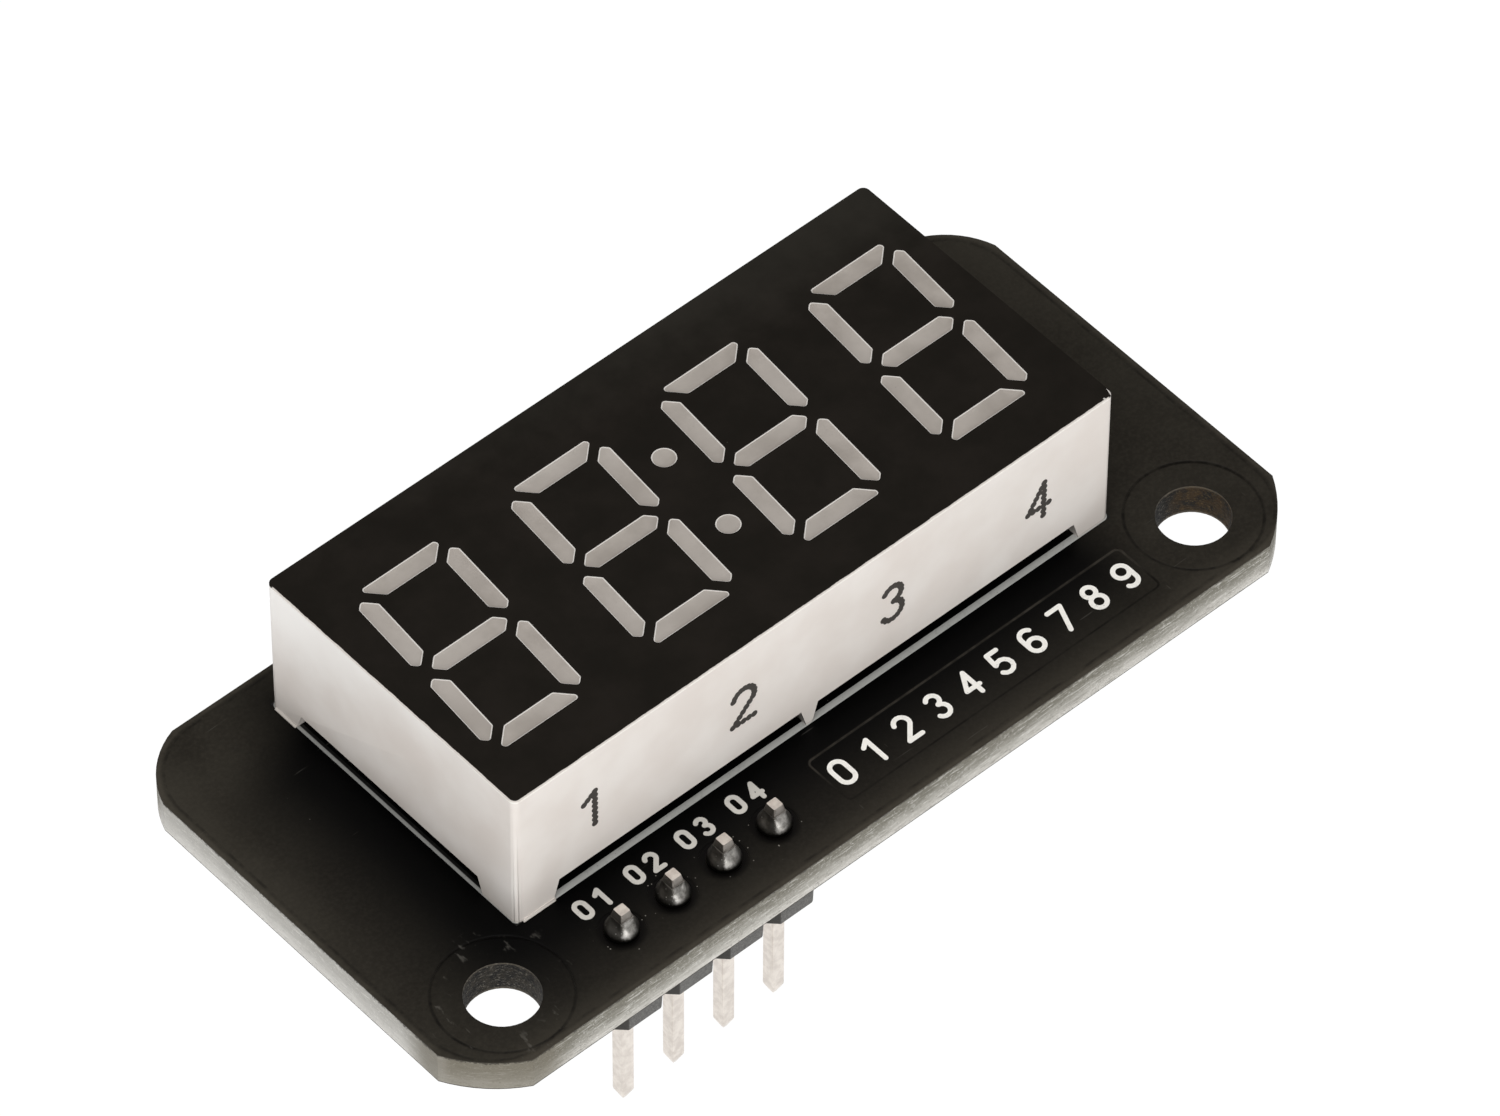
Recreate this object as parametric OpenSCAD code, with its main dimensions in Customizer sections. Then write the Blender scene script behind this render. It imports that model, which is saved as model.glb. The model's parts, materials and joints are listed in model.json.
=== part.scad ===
// Four-digit seven segment display module on a small circuit board.
// The origin is midway between the two mounting holes, on the board's underside.
// +X runs to the right as the digits read, +Y to the digits' tops, +Z out of the display's face.

/* [Board] */
// Length of the board, left to right
board_w = 42.4; // [41:0.1:50]
// Depth of the board, front to back
board_d = 20.85; // [20.2:0.05:26]
// Thickness of the finished board with both solder masks
board_t = 1.6; // [1:0.1:2.4]
// Length that a rounded corner takes off each edge
corner_cut = 2.5; // [1:0.1:3]
// Radius of the arc at the two rear corners, which meets the edges at a slight angle
corner_r = 3.8; // [3:0.1:8]
// Radius of the arc at the two front corners
front_corner_r = 6.4; // [3:0.1:8]
// Thickness of each solder mask
mask_t = 0.04; // [0.03:0.01:0.08]
// Depth of the steps that bare areas of the copper leave in the mask
relief_t = 0.02; // [0.01:0.005:0.025]
// Thickness of the white print on the board
print_t = 0.02; // [0.01:0.005:0.04]

/* [Mounting holes] */
// Diameter of each mounting hole
hole_d = 3; // [2.2:0.1:3.4]
// Distance from a hole's centre to the board's end
hole_end = 3.65; // [3.2:0.05:4.2]
// Distance from a hole's centre to the board's front edge
hole_front = 3.05; // [2.85:0.05:3.6]
// Width of the bare ring round each hole
ring_w = 1.22; // [0.7:0.02:1.3]

/* [Display body] */
// Length of the display
display_w = 30.1; // [29.8:0.1:32]
// Depth of the display
display_d = 14.2; // [13.6:0.1:14.6]
// Height of the display over its feet
display_h = 7.2; // [6:0.1:9]
// Distance from the board's front edge to the display's front wall
display_front = 5.15; // [5:0.05:6]
// Thickness of the display's side walls
shell_wall = 0.9; // [0.7:0.05:1]
// Radius of the display's upright corners
shell_corner_r = 0.3; // [0.1:0.05:0.6]
// Thickness of the black ink on the display's face
ink_t = 0.05; // [0.03:0.01:0.1]
// Height of the gaps between the feet of the short walls
short_notch_h = 0.84; // [0.6:0.02:1.1]
// Height of the gaps between the feet of the long walls
long_notch_h = 0.98; // [0.6:0.02:1.1]
// Width of a corner foot at its top
foot_w = 2; // [1.6:0.1:2.6]
// Width that a foot loses on its slanted side
foot_slant = 0.28; // [0.1:0.02:0.4]
// Width of the foot in the middle of the long walls, at its top
middle_foot_w = 0.85; // [0.7:0.05:1.4]
// Place of the middle foot, right of the display's centre
middle_foot_x = -0.4; // [-1:0.1:1]
// Shift to the right of the gaps under the long walls
long_gap_shift = 0.13; // [0:0.01:0.3]
// Shift to the rear of the gaps under the short walls
short_gap_shift = 0.22; // [0:0.02:0.4]
// Width of the moulding flash at the base of the left feet
flash_w = 0.1; // [0.05:0.01:0.15]
// Height of the resin's back face over the feet
resin_back = 1.3; // [1.15:0.05:1.5]
// Thickness of the resin behind the chip board
resin_cover = 0.3; // [0.2:0.05:0.5]
// Gap round and in front of the chip board, filled with resin
resin_film = 0.1; // [0.05:0.01:0.2]
// Thickness of the board that carries the light chips
chip_board_t = 0.8; // [0.6:0.1:1.2]
// Width of a light chip
die_w = 0.3; // [0.2:0.02:0.4]
// Height of a light chip
die_h = 0.15; // [0.1:0.01:0.2]

/* [Digits] */
// Length of the display that its four equal digit places leave over
digit_spare = 0.1; // [0:0.05:1]
// Height of a digit over its windows
digit_h = 9.35; // [8.6:0.05:10]
// Width of a digit over its windows, before the slant
digit_w = 4.82; // [4.4:0.02:5]
// Thickness of the level windows
bar_t = 0.87; // [0.6:0.01:1]
// Width of the upright windows
post_w = 0.82; // [0.6:0.01:1]
// Width of the gap between neighbouring windows
window_gap = 0.41; // [0.2:0.01:0.6]
// Radius of the windows' corners
window_r = 0.14; // [0.08:0.01:0.16]
// Rim of white plastic that the ink leaves bare round each window
window_rim = 0.05; // [0.02:0.01:0.07]
// Length of the short outer chamfer at an upright window's tip
post_nose = 0.29; // [0.2:0.01:0.36]
// Lean of the digits from upright
slant = 5; // [0:0.5:10]
// Distance of the digits' middle bars in front of the display's centre line
digit_drop = 0.175; // [0:0.025:0.4]
// Diameter of the colon's dots
dot_d = 1; // [0.8:0.05:1.2]
// Distance between the colon's dots along Y
dot_pitch = 4.06; // [3:0.02:5]

/* [Display pins] */
// Distance between neighbouring pins, display and header alike
pin_pitch = 2.54; // [2:0.02:2.6]
// Distance from the display's wall to the row of pins behind it
row_in = 2.02; // [1.8:0.02:2.2]
// Diameter of a display pin
display_pin_d = 0.5; // [0.4:0.02:0.6]
// Length of a display pin below the board
display_pin_stub = 1.2; // [1:0.05:1.6]
// Play of a display pin in its plated hole
display_pin_play = 0.3; // [0.2:0.02:0.4]
// Width of the land round a display pin's hole
display_land_w = 0.35; // [0.25:0.01:0.45]
// Height of the solder on a display pin
display_solder_h = 0.85; // [0.5:0.05:0.95]

/* [Header] */
// Distance from the board's left end to the first header pin
header_left = 8.96; // [8:0.02:10]
// Distance from the board's front edge to the row of header pins
header_front = 2.4; // [2:0.05:2.8]
// Width of the square header pins
header_pin_w = 0.6; // [0.5:0.02:0.66]
// Length of a header pin over the board
header_rise = 1.22; // [1.15:0.01:2]
// Length of a header pin below its plastic
header_drop = 6; // [4:0.1:9]
// Length of a header pin's lower taper
tip_long = 0.5; // [0.2:0.05:0.8]
// Length of a header pin's upper taper
tip_short = 0.3; // [0.1:0.02:0.3]
// Height of the header's plastic
header_h = 2.62; // [2:0.02:3]
// Depth of the header's plastic
header_d = 2.6; // [2.2:0.02:2.7]
// Chamfer between the header's positions
header_chamfer = 0.46; // [0.2:0.02:0.6]
// Play of a header pin's corners in its plated hole
header_pin_play = 0.15; // [0.1:0.01:0.25]
// Width of the land round a header pin's hole
header_land_w = 0.2; // [0.15:0.01:0.25]
// Height of the solder on a header pin
header_solder_h = 0.84; // [0.7:0.02:0.84]
// Width of the bare ring round a header pin's land
header_ring_w = 0.25; // [0.2:0.01:0.35]
// Thickness of the copper in the plated holes
plating_t = 0.04; // [0.03:0.01:0.06]

/* [Driver chip] */
// Length of the chip's moulded body past the middle of its outer leads
chip_over = 0.68; // [0.5:0.02:0.9]
// Height of the chip's moulded body
chip_h = 2.3; // [1.8:0.05:2.6]
// Height of the chip's body over the board
chip_lift = 0.15; // [0.1:0.01:0.25]
// Width over the tips of the leads
lead_span = 10.3; // [10:0.05:12]
// Length of the leads past the moulded body
lead_reach = 1.4; // [1.3:0.05:1.8]
// Distance between neighbouring leads
lead_pitch = 1.27; // [1.2:0.01:1.27]
// Number of leads on each side
lead_count = 10; // [8:1:10]
// Width of a lead
lead_w = 0.42; // [0.3:0.02:0.5]
// Thickness of a lead
lead_t = 0.25; // [0.2:0.01:0.3]
// Length of a lead's foot
lead_foot = 0.8; // [0.6:0.05:0.9]

/* [Small parts] */
// Length, width and height of the supply capacitor
bulk_size = [3.2, 1.6, 1.5];
// Distance that the supply capacitor stands left of the first header pin
bulk_left = 0.96; // [0:0.02:3]
// Length, width and height of the small capacitors
cap_size = [1.6, 0.8, 0.8];
// Length, width and height of the resistors
res_size = [1.6, 0.8, 0.45];
// Length of an end cap, as a share of the part's length
cap_share = 0.2; // [0.14:0.01:0.26]
// Thickness of the solder under a lead or end cap
solder_t = 0.05; // [0.03:0.01:0.08]
// Reach of the solder past a lead or end cap
solder_reach = 0.3; // [0.2:0.02:0.36]

/* [Print] */
// Width of the printed line round the display
frame_line = 0.28; // [0.2:0.01:0.3]
// Distance that the printed line stands out past the display
frame_out = 0.02; // [0.01:0.01:0.2]
// Height of the numbers over the header pins
pin_label_h = 1; // [0.8:0.05:1.05]
// Height of the row of numbers right of the header
row_label_h = 1.35; // [1:0.05:1.5]
// Length of the row of numbers
row_label_l = 15.4; // [12:0.1:15.6]
// Stroke width of the numbers
label_stroke = 0.2; // [0.16:0.01:0.24]
// Height of the dotted numbers on the display's front wall
side_label_h = 2.2; // [1.6:0.1:2.6]
// Diameter of the ink dots on the display's front wall
side_dot_d = 0.3; // [0.24:0.01:0.34]

/* [Hidden] */
$fn = 48;
eps = 0.01;

// Board levels and places
front_y = -hole_front;
hole_x = board_w / 2 - hole_end;
ring_d = hole_d + 2 * ring_w;
core_top = board_t - mask_t;

// Display levels and places
base_z = board_t + print_t;
face_z = base_z + display_h;
shell_top = face_z - ink_t;
display_y = front_y + display_front + display_d / 2;
resin_z = base_z + resin_back;
chip_board_z = resin_z + resin_cover;
die_z = chip_board_z + chip_board_t;
deck_z = die_z + resin_film;
recess_w = display_w - 2 * shell_wall;
recess_d = display_d - 2 * shell_wall;
digit_count = 4;
digit_pitch = (display_w - digit_spare) / digit_count;

// Display pin places, holes and lands
row_count = 6;
row_gap = display_d - 2 * row_in;
display_hole_d = display_pin_d + display_pin_play;
display_pad_d = display_hole_d + 2 * display_land_w;

// Digit layout: half the distances between the windows' centre lines, and the mitres at their ends
half_w = (digit_w - post_w) / 2;
half_h = (digit_h - bar_t) / 2;
mitre = window_gap / sqrt(2);
mitre_shift = post_w / 5;
bar_nose = post_nose * 2 / 3;
// The windows' shortest edges leave room for this radius at most
window_fit_r = min(window_r, post_nose / 2);

// Header places, holes and lands
header_count = 4;
header_hole_d = header_pin_w * sqrt(2) + header_pin_play;
header_pad_d = header_hole_d + 2 * header_land_w;
header_ring_d = header_pad_d + 2 * header_ring_w;
header_y = front_y + header_front;
header_x = [for (k = [0 : header_count - 1]) -board_w / 2 + header_left + k * pin_pitch];

// Driver chip: its body, its place midway between the display pins' lands and the board's right end,
// the width of its lands, the lean of its sides and the depth of a lead in its body
chip_l = (lead_count - 1) * lead_pitch + 2 * chip_over;
chip_w = lead_span - 2 * lead_reach;
chip_x = ((row_count - 1) * pin_pitch / 2 + display_pad_d / 2 + board_w / 2) / 2;
lead_land_w = lead_w + 0.1;
chip_lean = chip_h * 0.07;
lead_root = chip_w / 2 - chip_lean - 0.2;
chip_mark_d = 1.1;
chip_mark_in = 1.2;
chip_mark_t = 0.1;

// Lines of the print on the underside
part_line = 0.15;
part_clear = 0.3;

// Places of the small parts on the underside, from the display's centre, with their turn
bulk_at = [header_x[0] - bulk_left, -2.4, 90];
bypass_at = [-3.2, 2.2, 0];
line_cap_at = [[-3.2, -0.2, 0], [-3.2, -2.6, 0]];
pull_up_at = [[1.6, -0.2, 0], [1.6, -2.6, 0]];

// Places of the printed numbers, and the bare area round the row of numbers
row_label_x = -1.45;
row_label_y = front_y + 1.9;
label_pad_x = 0.3;
label_pad_y = 0.55;
pin_label_gap = 0.2;
numeral_gap = 0.3;
numeral_share = 0.56;

// Unit vector along v
function unit(v) = v / norm(v);

// A list in reverse order
function backwards(pts) = [for (i = [len(pts) - 1 : -1 : 0]) pts[i]];

// Points of a circular arc about c from angle a0 to a1
function arc(c, r, a0, a1, steps = 10) =
    [for (k = [0 : steps]) let (a = a0 + (a1 - a0) * k / steps) c + r * [cos(a), sin(a)]];

// A convex outline with each side moved in by d
function inset(pts, d) =
    let (n = len(pts))
    [for (i = [0 : n - 1])
        let (b = pts[i], u = unit(pts[(i + n - 1) % n] - b), v = unit(pts[(i + 1) % n] - b))
        b + unit(u + v) * d / sin(acos(u * v) / 2)];

// A convex anticlockwise outline with its corners rounded to radius r
function rounded(pts, r, steps = 3) =
    let (n = len(pts))
    [for (i = [0 : n - 1])
        let (b = pts[i], u = unit(pts[(i + n - 1) % n] - b), v = unit(pts[(i + 1) % n] - b),
            half = acos(u * v) / 2, c = b + unit(u + v) * r / sin(half),
            a0 = atan2(-u[0], u[1]) + 180, turn = 180 - 2 * half)
        for (k = [0 : steps]) c + r * [cos(a0 + turn * k / steps), sin(a0 + turn * k / steps)]];

// Outlines of the four different windows about a digit's centre, upright and anticlockwise.
// Each end lies on a line at 45 degrees that passes the crossing of two centre lines.
post_in = half_w - post_w / 2;
post_out = half_w + post_w / 2;
bar_in = half_h - bar_t / 2;
bar_out = half_h + bar_t / 2;
corner_left = half_h - half_w + mitre_shift;
corner_right = half_h - half_w;
middle = half_w + mitre_shift;

function top_bar() = [
    [corner_left + mitre - bar_in, bar_in],
    [bar_in - corner_right - mitre, bar_in],
    [bar_out - bar_nose - corner_right - mitre, bar_out - bar_nose],
    [bar_out - bar_nose * 1.8 - corner_right - mitre, bar_out],
    [corner_left + mitre - bar_out + bar_nose * 1.4, bar_out],
    [corner_left + mitre - bar_out + bar_nose, bar_out - bar_nose]];

function middle_bar() = [
    [-middle + mitre, 0], [-middle + mitre + bar_t / 2, -bar_t / 2],
    [middle - mitre - bar_t / 2, -bar_t / 2], [middle - mitre, 0],
    [middle - mitre - bar_t / 2, bar_t / 2], [-middle + mitre + bar_t / 2, bar_t / 2]];

// An upright window right of the centre line, between the middle bar and the top bar.
// The line of its top end is x = y - corner.
function upright(corner) =
    let (tip_x = post_out - post_nose)
    [[tip_x, middle + mitre - tip_x], [post_out, middle + mitre - tip_x + post_nose],
    [post_out, tip_x + corner - mitre - post_nose], [tip_x, tip_x + corner - mitre],
    [post_in, post_in + corner - mitre], [post_in, middle + mitre - post_in]];

function mirrored(pts) = [for (p = backwards(pts)) [-p[0], p[1]]];
function half_turn(pts) = [for (p = pts) -p];

// The seven windows of a digit, upright
windows = let (right = upright(corner_right), left = mirrored(upright(corner_left)))
    [top_bar(), right, left, middle_bar(), half_turn(top_bar()), half_turn(right), half_turn(left)];

// The windows' outlines at the face, moved in by d on every side
module window_shapes(d) {
    lean = tan(slant);
    for (k = [0 : digit_count - 1])
        translate([(k - (digit_count - 1) / 2) * digit_pitch, 0])
            for (w = windows)
                polygon([for (p = rounded(inset(w, d), window_fit_r - d)) [p[0] + p[1] * lean, p[1]]]);
    for (s = [-1, 1])
        translate([s * dot_pitch / 2 * lean, s * dot_pitch / 2])
            circle(d = dot_d - 2 * d);
}

// A solid of the windows' shape between two levels
module window_prisms(d, z0, z1) {
    translate([0, display_y - digit_drop, z0])
        linear_extrude(z1 - z0)
            window_shapes(d);
}

// One corner of the board's outline taken off to an arc, for the corner at [x, y]
module corner_waste(x, y) {
    r = y < 0 ? front_corner_r : corner_r;
    reach = corner_cut / 2 + sqrt((r * r - corner_cut * corner_cut / 2) / 2);
    translate([x * board_w / 2, front_y + board_d * (y + 1) / 2])
        difference() {
            translate([-x * corner_cut / 2, -y * corner_cut / 2])
                square(corner_cut + 2 * eps, center = true);
            translate([-x * reach, -y * reach])
                circle(r, $fn = 96);
        }
}

module board_outline() {
    difference() {
        translate([-board_w / 2, front_y])
            square([board_w, board_d]);
        for (x = [-1, 1], y = [-1, 1])
            corner_waste(x, y);
        for (x = [-1, 1])
            translate([x * hole_x, 0])
                circle(d = hole_d);
    }
}

module at_header_pins() {
    for (x = header_x)
        translate([x, header_y, 0])
            children();
}

// Places of the display's pins, for one row or both: -1 is the front row
module at_display_pins(rows) {
    for (s = rows, k = [0 : row_count - 1])
        translate([(k - (row_count - 1) / 2) * pin_pitch, display_y + s * row_gap / 2, 0])
            children();
}

// Turns a part to stand on the board's underside, its own +Z away from the board
module underside(x, y, turn = 0) {
    translate([x, y, 0])
        rotate([180, 0, turn])
            children();
}

// Places a small part on the underside, from the display's centre
module small_part(at) {
    underside(at[0], display_y + at[1], at[2])
        children();
}

module circuit_board() {
    color([0.74, 0.74, 0.68])
        difference() {
            translate([0, 0, mask_t])
                linear_extrude(board_t - 2 * mask_t)
                    board_outline();
            at_header_pins()
                cylinder(h = board_t, d = header_hole_d + 2 * plating_t);
            at_display_pins([-1, 1])
                cylinder(h = board_t, d = display_hole_d + 2 * plating_t);
        }
}

module solder_mask_top() {
    color([0.11, 0.1, 0.09])
        difference() {
            translate([0, 0, core_top])
                linear_extrude(mask_t)
                    board_outline();
            at_header_pins()
                cylinder(h = board_t + 1, d = header_pad_d);
            at_display_pins([-1, 1])
                cylinder(h = board_t + 1, d = display_pad_d);
            at_header_pins()
                translate([0, 0, board_t - relief_t])
                    cylinder(h = 1, d = header_ring_d);
            for (x = [-1, 1])
                translate([x * hole_x, 0, board_t - relief_t])
                    cylinder(h = 1, d = ring_d);
            translate([row_label_x - label_pad_x, row_label_y - label_pad_y, board_t - relief_t])
                cube([row_label_l + 2 * label_pad_x, row_label_h + 2 * label_pad_y, 1]);
        }
}

module solder_mask_bottom() {
    color([0.11, 0.1, 0.09])
        difference() {
            linear_extrude(mask_t)
                board_outline();
            translate([0, 0, -1]) {
                at_header_pins()
                    cylinder(h = 2, d = header_pad_d);
                at_display_pins([-1, 1])
                    cylinder(h = 2, d = display_pad_d);
                for (x = [-1, 1])
                    translate([x * hole_x, 0, 1 - mask_t])
                        cylinder(h = mask_t + relief_t, d = ring_d);
            }
            all_lands(mask_t + 1, -1);
        }
}

// Copper barrel of a plated hole, with a land on each side
module plated_hole(hole, land) {
    difference() {
        union() {
            cylinder(h = board_t, d = hole + 2 * plating_t);
            cylinder(h = mask_t, d = land);
            translate([0, 0, core_top])
                cylinder(h = mask_t, d = land);
        }
        translate([0, 0, -1])
            cylinder(h = board_t + 2, d = hole);
    }
}

module plated_holes() {
    color([0.72, 0.7, 0.66]) {
        at_header_pins()
            plated_hole(header_hole_d, header_pad_d);
        at_display_pins([-1, 1])
            plated_hole(display_hole_d, display_pad_d);
    }
}

// Solid of every surface land, as high as h from level z on the underside
module all_lands(h, z) {
    translate([0, 0, z]) {
        small_lands(bulk_at, bulk_size, h);
        small_lands(bypass_at, cap_size, h);
        for (k = [0, 1]) {
            small_lands(line_cap_at[k], cap_size, h);
            small_lands(pull_up_at[k], res_size, h);
        }
        at_leads()
            translate([lead_span / 2 - lead_foot - solder_reach / 2, -lead_land_w / 2, 0])
                mirror([0, 0, 1])
                    cube([lead_foot + 1.5 * solder_reach, lead_land_w, h]);
    }
}

module surface_lands() {
    color([0.72, 0.7, 0.66])
        all_lands(mask_t, 0);
}

// The two lands of a small part, rising from the underside into the board
module small_lands(at, size, h) {
    small_part(at)
        for (s = [-1, 1])
            scale_x(s)
                translate([size[0] / 2 - size[0] * cap_share - eps, -size[1] / 2 - eps, 0])
                    mirror([0, 0, 1])
                        cube([size[0] * cap_share + solder_reach + eps, size[1] + 2 * eps, h]);
}

// Mirrors its children across X where s is -1
module scale_x(s) {
    if (s < 0)
        mirror([1, 0, 0])
            children();
    else
        children();
}

// Rows of lead places in the chip's own frame, as if each lead were on the side of +X
module at_lead_rows() {
    for (s = [-1, 1])
        scale_x(s)
            for (k = [0 : lead_count - 1])
                translate([0, (k - (lead_count - 1) / 2) * lead_pitch, 0])
                    children();
}

// The same places on the board's underside
module at_leads() {
    underside(chip_x, display_y)
        at_lead_rows()
            children();
}

// Solder under and beyond an edge: a film as long as the metal, then a slope up to height h
module solder_wedge(x0, x1, w, h) {
    rotate([90, 0, 0])
        translate([0, 0, -w / 2])
            linear_extrude(w)
                polygon([[x0, 0], [x1 + solder_reach, 0], [x1, h], [x1, solder_t], [x0, solder_t]]);
}

module small_solder(at, size) {
    small_part(at)
        for (s = [-1, 1])
            scale_x(s)
                solder_wedge(size[0] / 2 - size[0] * cap_share, size[0] / 2, size[1], size[2] * 0.6);
}

module surface_solder() {
    color([0.66, 0.65, 0.63]) {
        small_solder(bulk_at, bulk_size);
        small_solder(bypass_at, cap_size);
        for (k = [0, 1]) {
            small_solder(line_cap_at[k], cap_size);
            small_solder(pull_up_at[k], res_size);
        }
        at_leads()
            solder_wedge(lead_span / 2 - lead_foot, lead_span / 2, lead_w, solder_t + lead_t * 0.8);
    }
}

// A closed loop of points drawn as a line of width t
module loop_line(pts, t) {
    difference() {
        polygon(inset(pts, -t / 2));
        polygon(inset(pts, t / 2));
    }
}

// Outline of an open path drawn as a line of width t with round ends
function path_line(path, t) =
    let (n = len(path),
        side = [for (i = [0 : n - 1])
            let (d = unit(path[min(i + 1, n - 1)] - path[max(i - 1, 0)])) [-d[1], d[0]] * t / 2],
        end = atan2(side[n - 1][1], side[n - 1][0]),
        start = atan2(-side[0][1], -side[0][0]))
    concat([for (i = [0 : n - 2]) path[i] + side[i]], arc(path[n - 1], t / 2, end, end - 180, 6),
        [for (i = [n - 2 : -1 : 1]) path[i] - side[i]], arc(path[0], t / 2, start, start - 180, 6));

// Closed loops of each numeral, w wide and h high along the middle of its line
function numeral_loops(d, w, h) = let (r = w / 2)
    d == 0 ? [concat(arc([r, h - r], r, 0, 180), arc([r, r], r, 180, 360))] :
    d == 6 ? [arc([r, r], r, 0, 342, 19)] :
    d == 8 ? [arc([r, h * 0.27], h * 0.27, 0, 342, 19), arc([r, h * 0.77], h * 0.23, 0, 342, 19)] :
    d == 9 ? [arc([r, h - r], r, 0, 342, 19)] : [];

// Open strokes of each numeral
function numeral_strokes(d, w, h) = let (r = w / 2)
    d == 1 ? [[[w * 0.1, h * 0.78], [w * 0.6, h]], [[w * 0.6, h], [w * 0.6, 0]]] :
    d == 2 ? [concat(arc([r, h - r], r, 165, -30), [[0, 0]]), [[0, 0], [w, 0]]] :
    d == 3 ? [arc([r, h * 0.765], h * 0.235, 150, -80), arc([r, h * 0.265], h * 0.265, 80, -150)] :
    d == 4 ? [[[w * 0.75, 0], [w * 0.75, h]], [[w * 0.75, h], [0, h * 0.3]], [[0, h * 0.3], [w, h * 0.3]]] :
    d == 5 ? [[[w * 0.9, h], [w * 0.15, h]], [[w * 0.15, h], [w * 0.08, h * 0.5]],
        arc([r, r * 1.05], r * 1.05, 140, -145)] :
    d == 6 ? [concat([[0, r]], arc([r, h - r], r, 180, 40))] :
    d == 7 ? [[[0, h], [w, h]], [[w, h], [w * 0.3, 0]]] :
    d == 9 ? [concat([[w, h - r]], arc([r, r], r, 0, -140))] : [];

// A printed numeral whose height over its line is tall, from its lower left corner
module numeral(d, tall, t) {
    h = tall - t;
    w = h * numeral_share;
    translate([t / 2, t / 2]) {
        for (pts = numeral_loops(d, w, h))
            loop_line(pts, t);
        for (path = numeral_strokes(d, w, h))
            polygon(path_line(path, t));
    }
}

function numeral_w(tall, t) = (tall - t) * numeral_share + t;

// A printed rectangle, w by d over its line, centred
module frame_shape(w, d, line) {
    difference() {
        square([w, d], center = true);
        square([w - 2 * line, d - 2 * line], center = true);
    }
}

module board_print_top() {
    color([0.86, 0.85, 0.82]) {
        translate([0, display_y, board_t])
            linear_extrude(print_t)
                frame_shape(display_w + 2 * frame_out, display_d + 2 * frame_out, frame_line);
        each_w = numeral_w(pin_label_h, label_stroke);
        translate([0, header_y + header_ring_d / 2 + pin_label_gap, board_t])
            linear_extrude(print_t)
                for (k = [0 : header_count - 1])
                    translate([header_x[k], 0]) {
                        translate([-each_w - numeral_gap / 2, 0])
                            numeral(0, pin_label_h, label_stroke);
                        translate([numeral_gap / 2, 0])
                            numeral(k + 1, pin_label_h, label_stroke);
                    }
        step = (row_label_l - numeral_w(row_label_h, label_stroke)) / 9;
        translate([row_label_x, row_label_y, board_t - relief_t])
            linear_extrude(print_t)
                for (d = [0 : 9])
                    translate([d * step, 0])
                        numeral(d, row_label_h, label_stroke);
    }
}

// Printed outline round a small part, on the underside
module part_print(at, size) {
    small_part(at)
        linear_extrude(print_t)
            frame_shape(size[0] + 2 * (solder_reach + part_clear), size[1] + 2 * part_clear, part_line);
}

module board_print_bottom() {
    color([0.86, 0.85, 0.82]) {
        part_print(bulk_at, bulk_size);
        part_print(bypass_at, cap_size);
        for (k = [0, 1]) {
            part_print(line_cap_at[k], cap_size);
            part_print(pull_up_at[k], res_size);
        }
        underside(chip_x, display_y)
            linear_extrude(print_t) {
                inner = lead_span / 2 - lead_foot - solder_reach - part_clear;
                for (s = [-1, 1])
                    translate([-inner, s * (chip_l / 2 + part_clear) - part_line / 2])
                        square([2 * inner, part_line]);
                translate([-lead_span / 2 + lead_foot / 2, -chip_l / 2])
                    circle(part_clear);
            }
        translate([0, header_y, -print_t])
            linear_extrude(print_t)
                translate([header_x[0] - pin_pitch / 2 - part_clear - part_line, -header_d / 2])
                    square([part_line, header_d]);
    }
}

// Slanted gap of height h between two feet along X, from x0 to x1 at its top, cut through the wall at y
module foot_gap(x0, x1, y, h) {
    translate([0, y + shell_wall, base_z])
        rotate([90, 0, 0])
            linear_extrude(2 * shell_wall)
                polygon([[x0, h], [x0 - foot_slant, -eps], [x1 + foot_slant, -eps], [x1, h]]);
}

// A thin bead of flash on a wall that faces -X, from y = 0 to -l
module foot_flash(l) {
    rotate([90, 0, 0])
        linear_extrude(l)
            polygon([[eps, 0], [eps, flash_w], [-flash_w * 0.4, flash_w], [-flash_w, flash_w * 0.4],
                [-flash_w, 0]]);
}

// The upright walls' outline, with its corners rounded
module shell_outline() {
    x = display_w / 2 - shell_corner_r;
    y = display_d / 2 - shell_corner_r;
    square([2 * x, display_d], center = true);
    square([display_w, 2 * y], center = true);
    for (a = [-x, x], b = [-y, y])
        translate([a, b])
            circle(shell_corner_r);
}

module display_shell() {
    color([0.88, 0.85, 0.82])
        difference() {
            union() {
                translate([0, display_y, base_z])
                    linear_extrude(shell_top - base_z)
                        shell_outline();
                translate([-display_w / 2, display_y + display_d / 2 - shell_corner_r, base_z])
                    foot_flash(foot_w - shell_corner_r);
                translate([-display_w / 2 + shell_corner_r, display_y - display_d / 2, base_z])
                    rotate([0, 0, 90])
                        foot_flash(foot_w - shell_corner_r);
            }
            translate([-recess_w / 2, display_y - recess_d / 2, base_z - eps])
                cube([recess_w, recess_d, deck_z - base_z + eps]);
            translate([0, display_y, 0])
                for (y = [-1, 1] * (display_d - shell_wall) / 2) {
                    foot_gap(-display_w / 2 + foot_w + long_gap_shift, middle_foot_x - middle_foot_w / 2, y,
                        long_notch_h);
                    foot_gap(middle_foot_x + middle_foot_w / 2, display_w / 2 - foot_w + long_gap_shift, y,
                        long_notch_h);
                }
            for (x = [-1, 1] * (display_w - shell_wall) / 2)
                translate([x, display_y, 0])
                    rotate([0, 0, 90])
                        foot_gap(-display_d / 2 + foot_w + short_gap_shift,
                            display_d / 2 - foot_w + short_gap_shift, 0, short_notch_h);
            window_prisms(window_rim, deck_z - eps, shell_top + eps);
        }
}

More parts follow.
